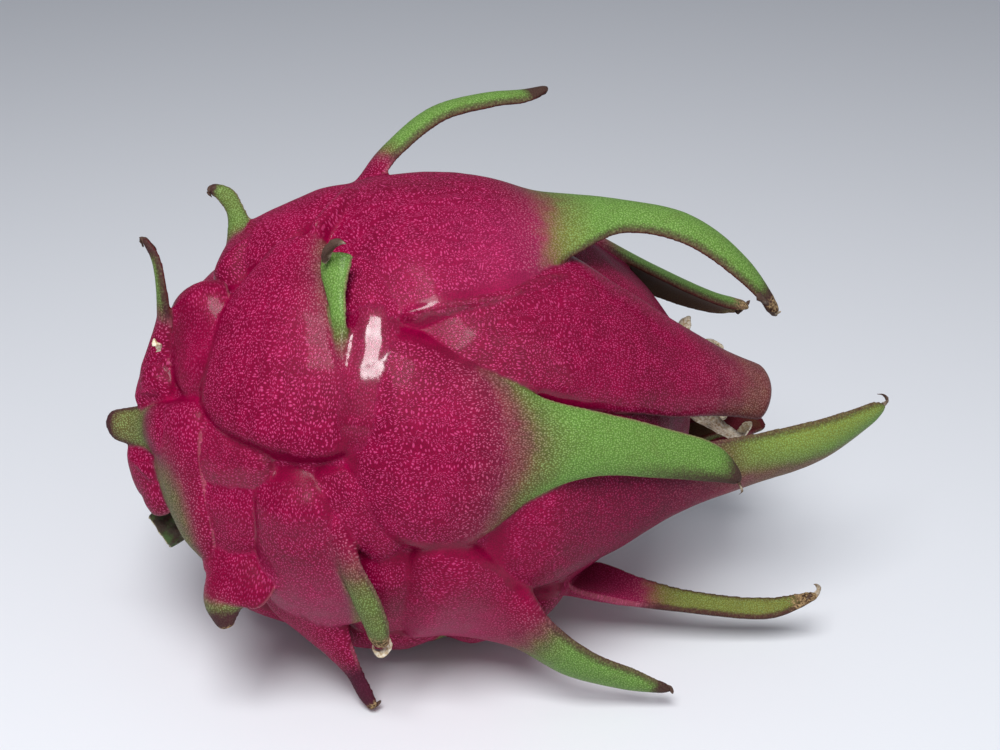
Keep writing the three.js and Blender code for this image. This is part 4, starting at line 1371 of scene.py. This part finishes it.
def add_floor(colour):
    corners = [[-1, -1, 0], [1, -1, 0], [1, 1, 0], [-1, 1, 0]]
    floor = mesh_object("floor", np.array(corners) * FLOOR_HALF, np.array([[0, 1, 2, 3]]))
    finish = Finish("plain_floor")
    floor.data.materials.append(finish.surface({"Base Color": (*colour, 1), "Roughness": 0.6}))


def add_lamp(scene, strength, name, place_mm, aim_mm, size, power):
    light = bpy.data.lights.new(name, "AREA")
    light.shape = "RECTANGLE"
    light.size = size[0] * MM
    light.size_y = size[1] * MM
    light.energy = power * strength
    lamp = bpy.data.objects.new(name, light)
    lamp.location = Vector(place_mm) * MM
    lamp.rotation_euler = (Vector(place_mm) - Vector(aim_mm)).to_track_quat("Z", "Y").to_euler()
    scene.collection.objects.link(lamp)


def add_camera(scene, lens):
    azimuth = math.radians(CAMERA_AZIMUTH)
    elevation = math.radians(CAMERA_ELEVATION)
    back = Vector((
        math.sin(azimuth) * math.cos(elevation), -math.cos(azimuth) * math.cos(elevation),
        math.sin(elevation)))
    right = Vector((math.cos(azimuth), math.sin(azimuth), 0))
    up = back.cross(right)
    target = Vector((0, 0, AXIS_HEIGHT)) + right * CAMERA_AIM_RIGHT + up * CAMERA_AIM_UP
    camera = bpy.data.cameras.new("camera")
    camera.lens = lens
    camera.sensor_width = SENSOR_WIDTH
    holder = bpy.data.objects.new("camera", camera)
    holder.location = (target + back * CAMERA_DISTANCE) * MM
    holder.rotation_euler = back.to_track_quat("Z", "Y").to_euler()
    scene.collection.objects.link(holder)
    scene.camera = holder


def build_stage(settings):
    """Soft light from a window and all round, a plain floor, and the camera."""
    scene = bpy.context.scene
    scene.view_settings.view_transform = "Standard"
    add_sky(scene, settings.sky_colour, settings.sky_strength)
    add_floor(settings.floor_colour)
    for row in LIGHTS:
        add_lamp(scene, settings.light_strength, *row)
    add_camera(scene, settings.lens)


# ---- Settings, operators and panel ----

class FruitSettings(bpy.types.PropertyGroup):
    """Sizes and colours of the fruit and its stage."""

    joining_voxel: bpy.props.FloatProperty(
        name="Joining voxel", description="Grain at which rind and bracts are joined",
        default=0.42 * MM, min=0.2 * MM, unit="LENGTH")
    crease_softening: bpy.props.IntProperty(
        name="Crease softening", description="Smoothing steps on the pads and their creases",
        default=6, min=0, max=40)
    crimson: bpy.props.FloatVectorProperty(
        name="Crimson", description="Skin between the dots", subtype="COLOR",
        default=screen_colour(118, 0, 45))
    magenta: bpy.props.FloatVectorProperty(
        name="Magenta", description="Lighter patches of the skin", subtype="COLOR",
        default=screen_colour(142, 0, 58))
    rosy: bpy.props.FloatVectorProperty(
        name="Rosy", description="Soft pinker clouds on the skin", subtype="COLOR",
        default=screen_colour(176, 6, 76))
    # Painted sheen: reflected light, as paler pink on the lower sides of some bracts
    sheen_pink: bpy.props.FloatVectorProperty(
        name="Dusty pink", description="Paler skin on the lower sides of some bracts",
        subtype="COLOR", default=screen_colour(180, 50, 102))
    crease_pink: bpy.props.FloatVectorProperty(
        name="Crease pink", description="Smooth skin in the creases", subtype="COLOR",
        default=screen_colour(156, 0, 66))
    dot_pink: bpy.props.FloatVectorProperty(
        name="Dot pink", description="Dots of the skin", subtype="COLOR",
        default=screen_colour(210, 70, 128))
    leaf_green: bpy.props.FloatVectorProperty(
        name="Leaf green", description="Green of the bract blades", subtype="COLOR",
        default=screen_colour(98, 136, 60))
    # Partly painted light on blades turned to it, partly their own yellower green
    lit_yellow_green: bpy.props.FloatVectorProperty(
        name="Sunned green", description="Yellowish green of a blade turned to the light",
        subtype="COLOR", default=screen_colour(134, 142, 62))
    # Also painted as shade on some bracts
    tip_purple_and_shade: bpy.props.FloatVectorProperty(
        name="Tip purple", description="Dark tips and edges of the blades", subtype="COLOR",
        default=screen_colour(70, 26, 44))
    rim_pink: bpy.props.FloatVectorProperty(
        name="Rim pink", description="Pale line along the blades' edges", subtype="COLOR",
        default=screen_colour(190, 116, 126))
    stem_green: bpy.props.FloatVectorProperty(
        name="Stem green", description="Fresh side of the stem stub", subtype="COLOR",
        default=screen_colour(60, 84, 34))
    stem_brown: bpy.props.FloatVectorProperty(
        name="Stem brown", description="Dried side of the stem stub", subtype="COLOR",
        default=screen_colour(58, 44, 30))
    petal_cream: bpy.props.FloatVectorProperty(
        name="Petal cream", description="Palest part of the dried flower", subtype="COLOR",
        default=screen_colour(240, 230, 208))
    petal_tan: bpy.props.FloatVectorProperty(
        name="Petal tan", description="Middle tone of the dried flower", subtype="COLOR",
        default=screen_colour(188, 160, 116))
    petal_brown: bpy.props.FloatVectorProperty(
        name="Petal brown", description="Darkest part of the dried flower", subtype="COLOR",
        default=screen_colour(70, 46, 34))


class StageSettings(bpy.types.PropertyGroup):
    """Light, floor and camera."""

    light_strength: bpy.props.FloatProperty(
        name="Light strength", description="Multiplies the power of both lamps", default=1.0, min=0)
    sky_colour: bpy.props.FloatVectorProperty(
        name="Sky colour", description="Colour of the light from all round", subtype="COLOR",
        default=(0.86, 0.9, 1.0))
    sky_strength: bpy.props.FloatProperty(
        name="Sky strength", description="Strength of the light from all round", default=0.28, min=0)
    floor_colour: bpy.props.FloatVectorProperty(
        name="Floor colour", description="Plain pale floor", subtype="COLOR",
        default=(0.78, 0.8, 0.84))
    lens: bpy.props.FloatProperty(
        name="Lens", description="Focal length in millimetres on a 36 mm sensor", default=54,
        min=20, subtype="DISTANCE_CAMERA")


class DRAGONFRUIT_OT_fruit(bpy.types.Operator):
    """Build the rind with all its bracts"""
    bl_idname = "dragon_fruit.fruit"
    bl_label = "Rind and bracts"

    def execute(self, context):
        build_fruit(context.scene.dragon_fruit)
        return {"FINISHED"}


class DRAGONFRUIT_OT_stub(bpy.types.Operator):
    """Build the cut stub of the stem"""
    bl_idname = "dragon_fruit.stub"
    bl_label = "Stem stub"

    def execute(self, context):
        build_stub(context.scene.dragon_fruit)
        return {"FINISHED"}


class DRAGONFRUIT_OT_flower(bpy.types.Operator):
    """Build the dried flower in the crown cup"""
    bl_idname = "dragon_fruit.flower"
    bl_label = "Dried flower"

    def execute(self, context):
        build_flower(context.scene.dragon_fruit)
        return {"FINISHED"}


class DRAGONFRUIT_OT_tips(bpy.types.Operator):
    """Build the withered ends of the bracts"""
    bl_idname = "dragon_fruit.tips"
    bl_label = "Withered tips"

    def execute(self, context):
        build_tips(context.scene.dragon_fruit)
        return {"FINISHED"}


class DRAGONFRUIT_OT_stage(bpy.types.Operator):
    """Set out the floor, the light and the camera"""
    bl_idname = "dragon_fruit.stage"
    bl_label = "Stage"

    def execute(self, context):
        build_stage(context.scene.dragon_fruit_stage)
        return {"FINISHED"}


class DRAGONFRUIT_PT_panel(bpy.types.Panel):
    """Lists the pieces of the dragon fruit"""
    bl_label = "Dragon fruit"
    bl_space_type = "VIEW_3D"
    bl_region_type = "UI"
    bl_category = "Dragon fruit"

    def draw(self, context):
        for operator in OPERATORS:
            self.layout.operator(operator.bl_idname)


OPERATORS = [
    DRAGONFRUIT_OT_fruit, DRAGONFRUIT_OT_stub, DRAGONFRUIT_OT_flower, DRAGONFRUIT_OT_tips,
    DRAGONFRUIT_OT_stage,
]
CLASSES = [FruitSettings, StageSettings, *OPERATORS, DRAGONFRUIT_PT_panel]


def register():
    for cls in CLASSES:
        bpy.utils.register_class(cls)
    bpy.types.Scene.dragon_fruit = bpy.props.PointerProperty(type=FruitSettings)
    bpy.types.Scene.dragon_fruit_stage = bpy.props.PointerProperty(type=StageSettings)


def unregister():
    del bpy.types.Scene.dragon_fruit_stage
    del bpy.types.Scene.dragon_fruit
    for cls in reversed(CLASSES):
        bpy.utils.unregister_class(cls)


def main():
    register()
    bpy.ops.dragon_fruit.fruit()
    bpy.ops.dragon_fruit.stub()
    bpy.ops.dragon_fruit.flower()
    bpy.ops.dragon_fruit.tips()
    bpy.ops.dragon_fruit.stage()


if __name__ == "__main__":
    main()
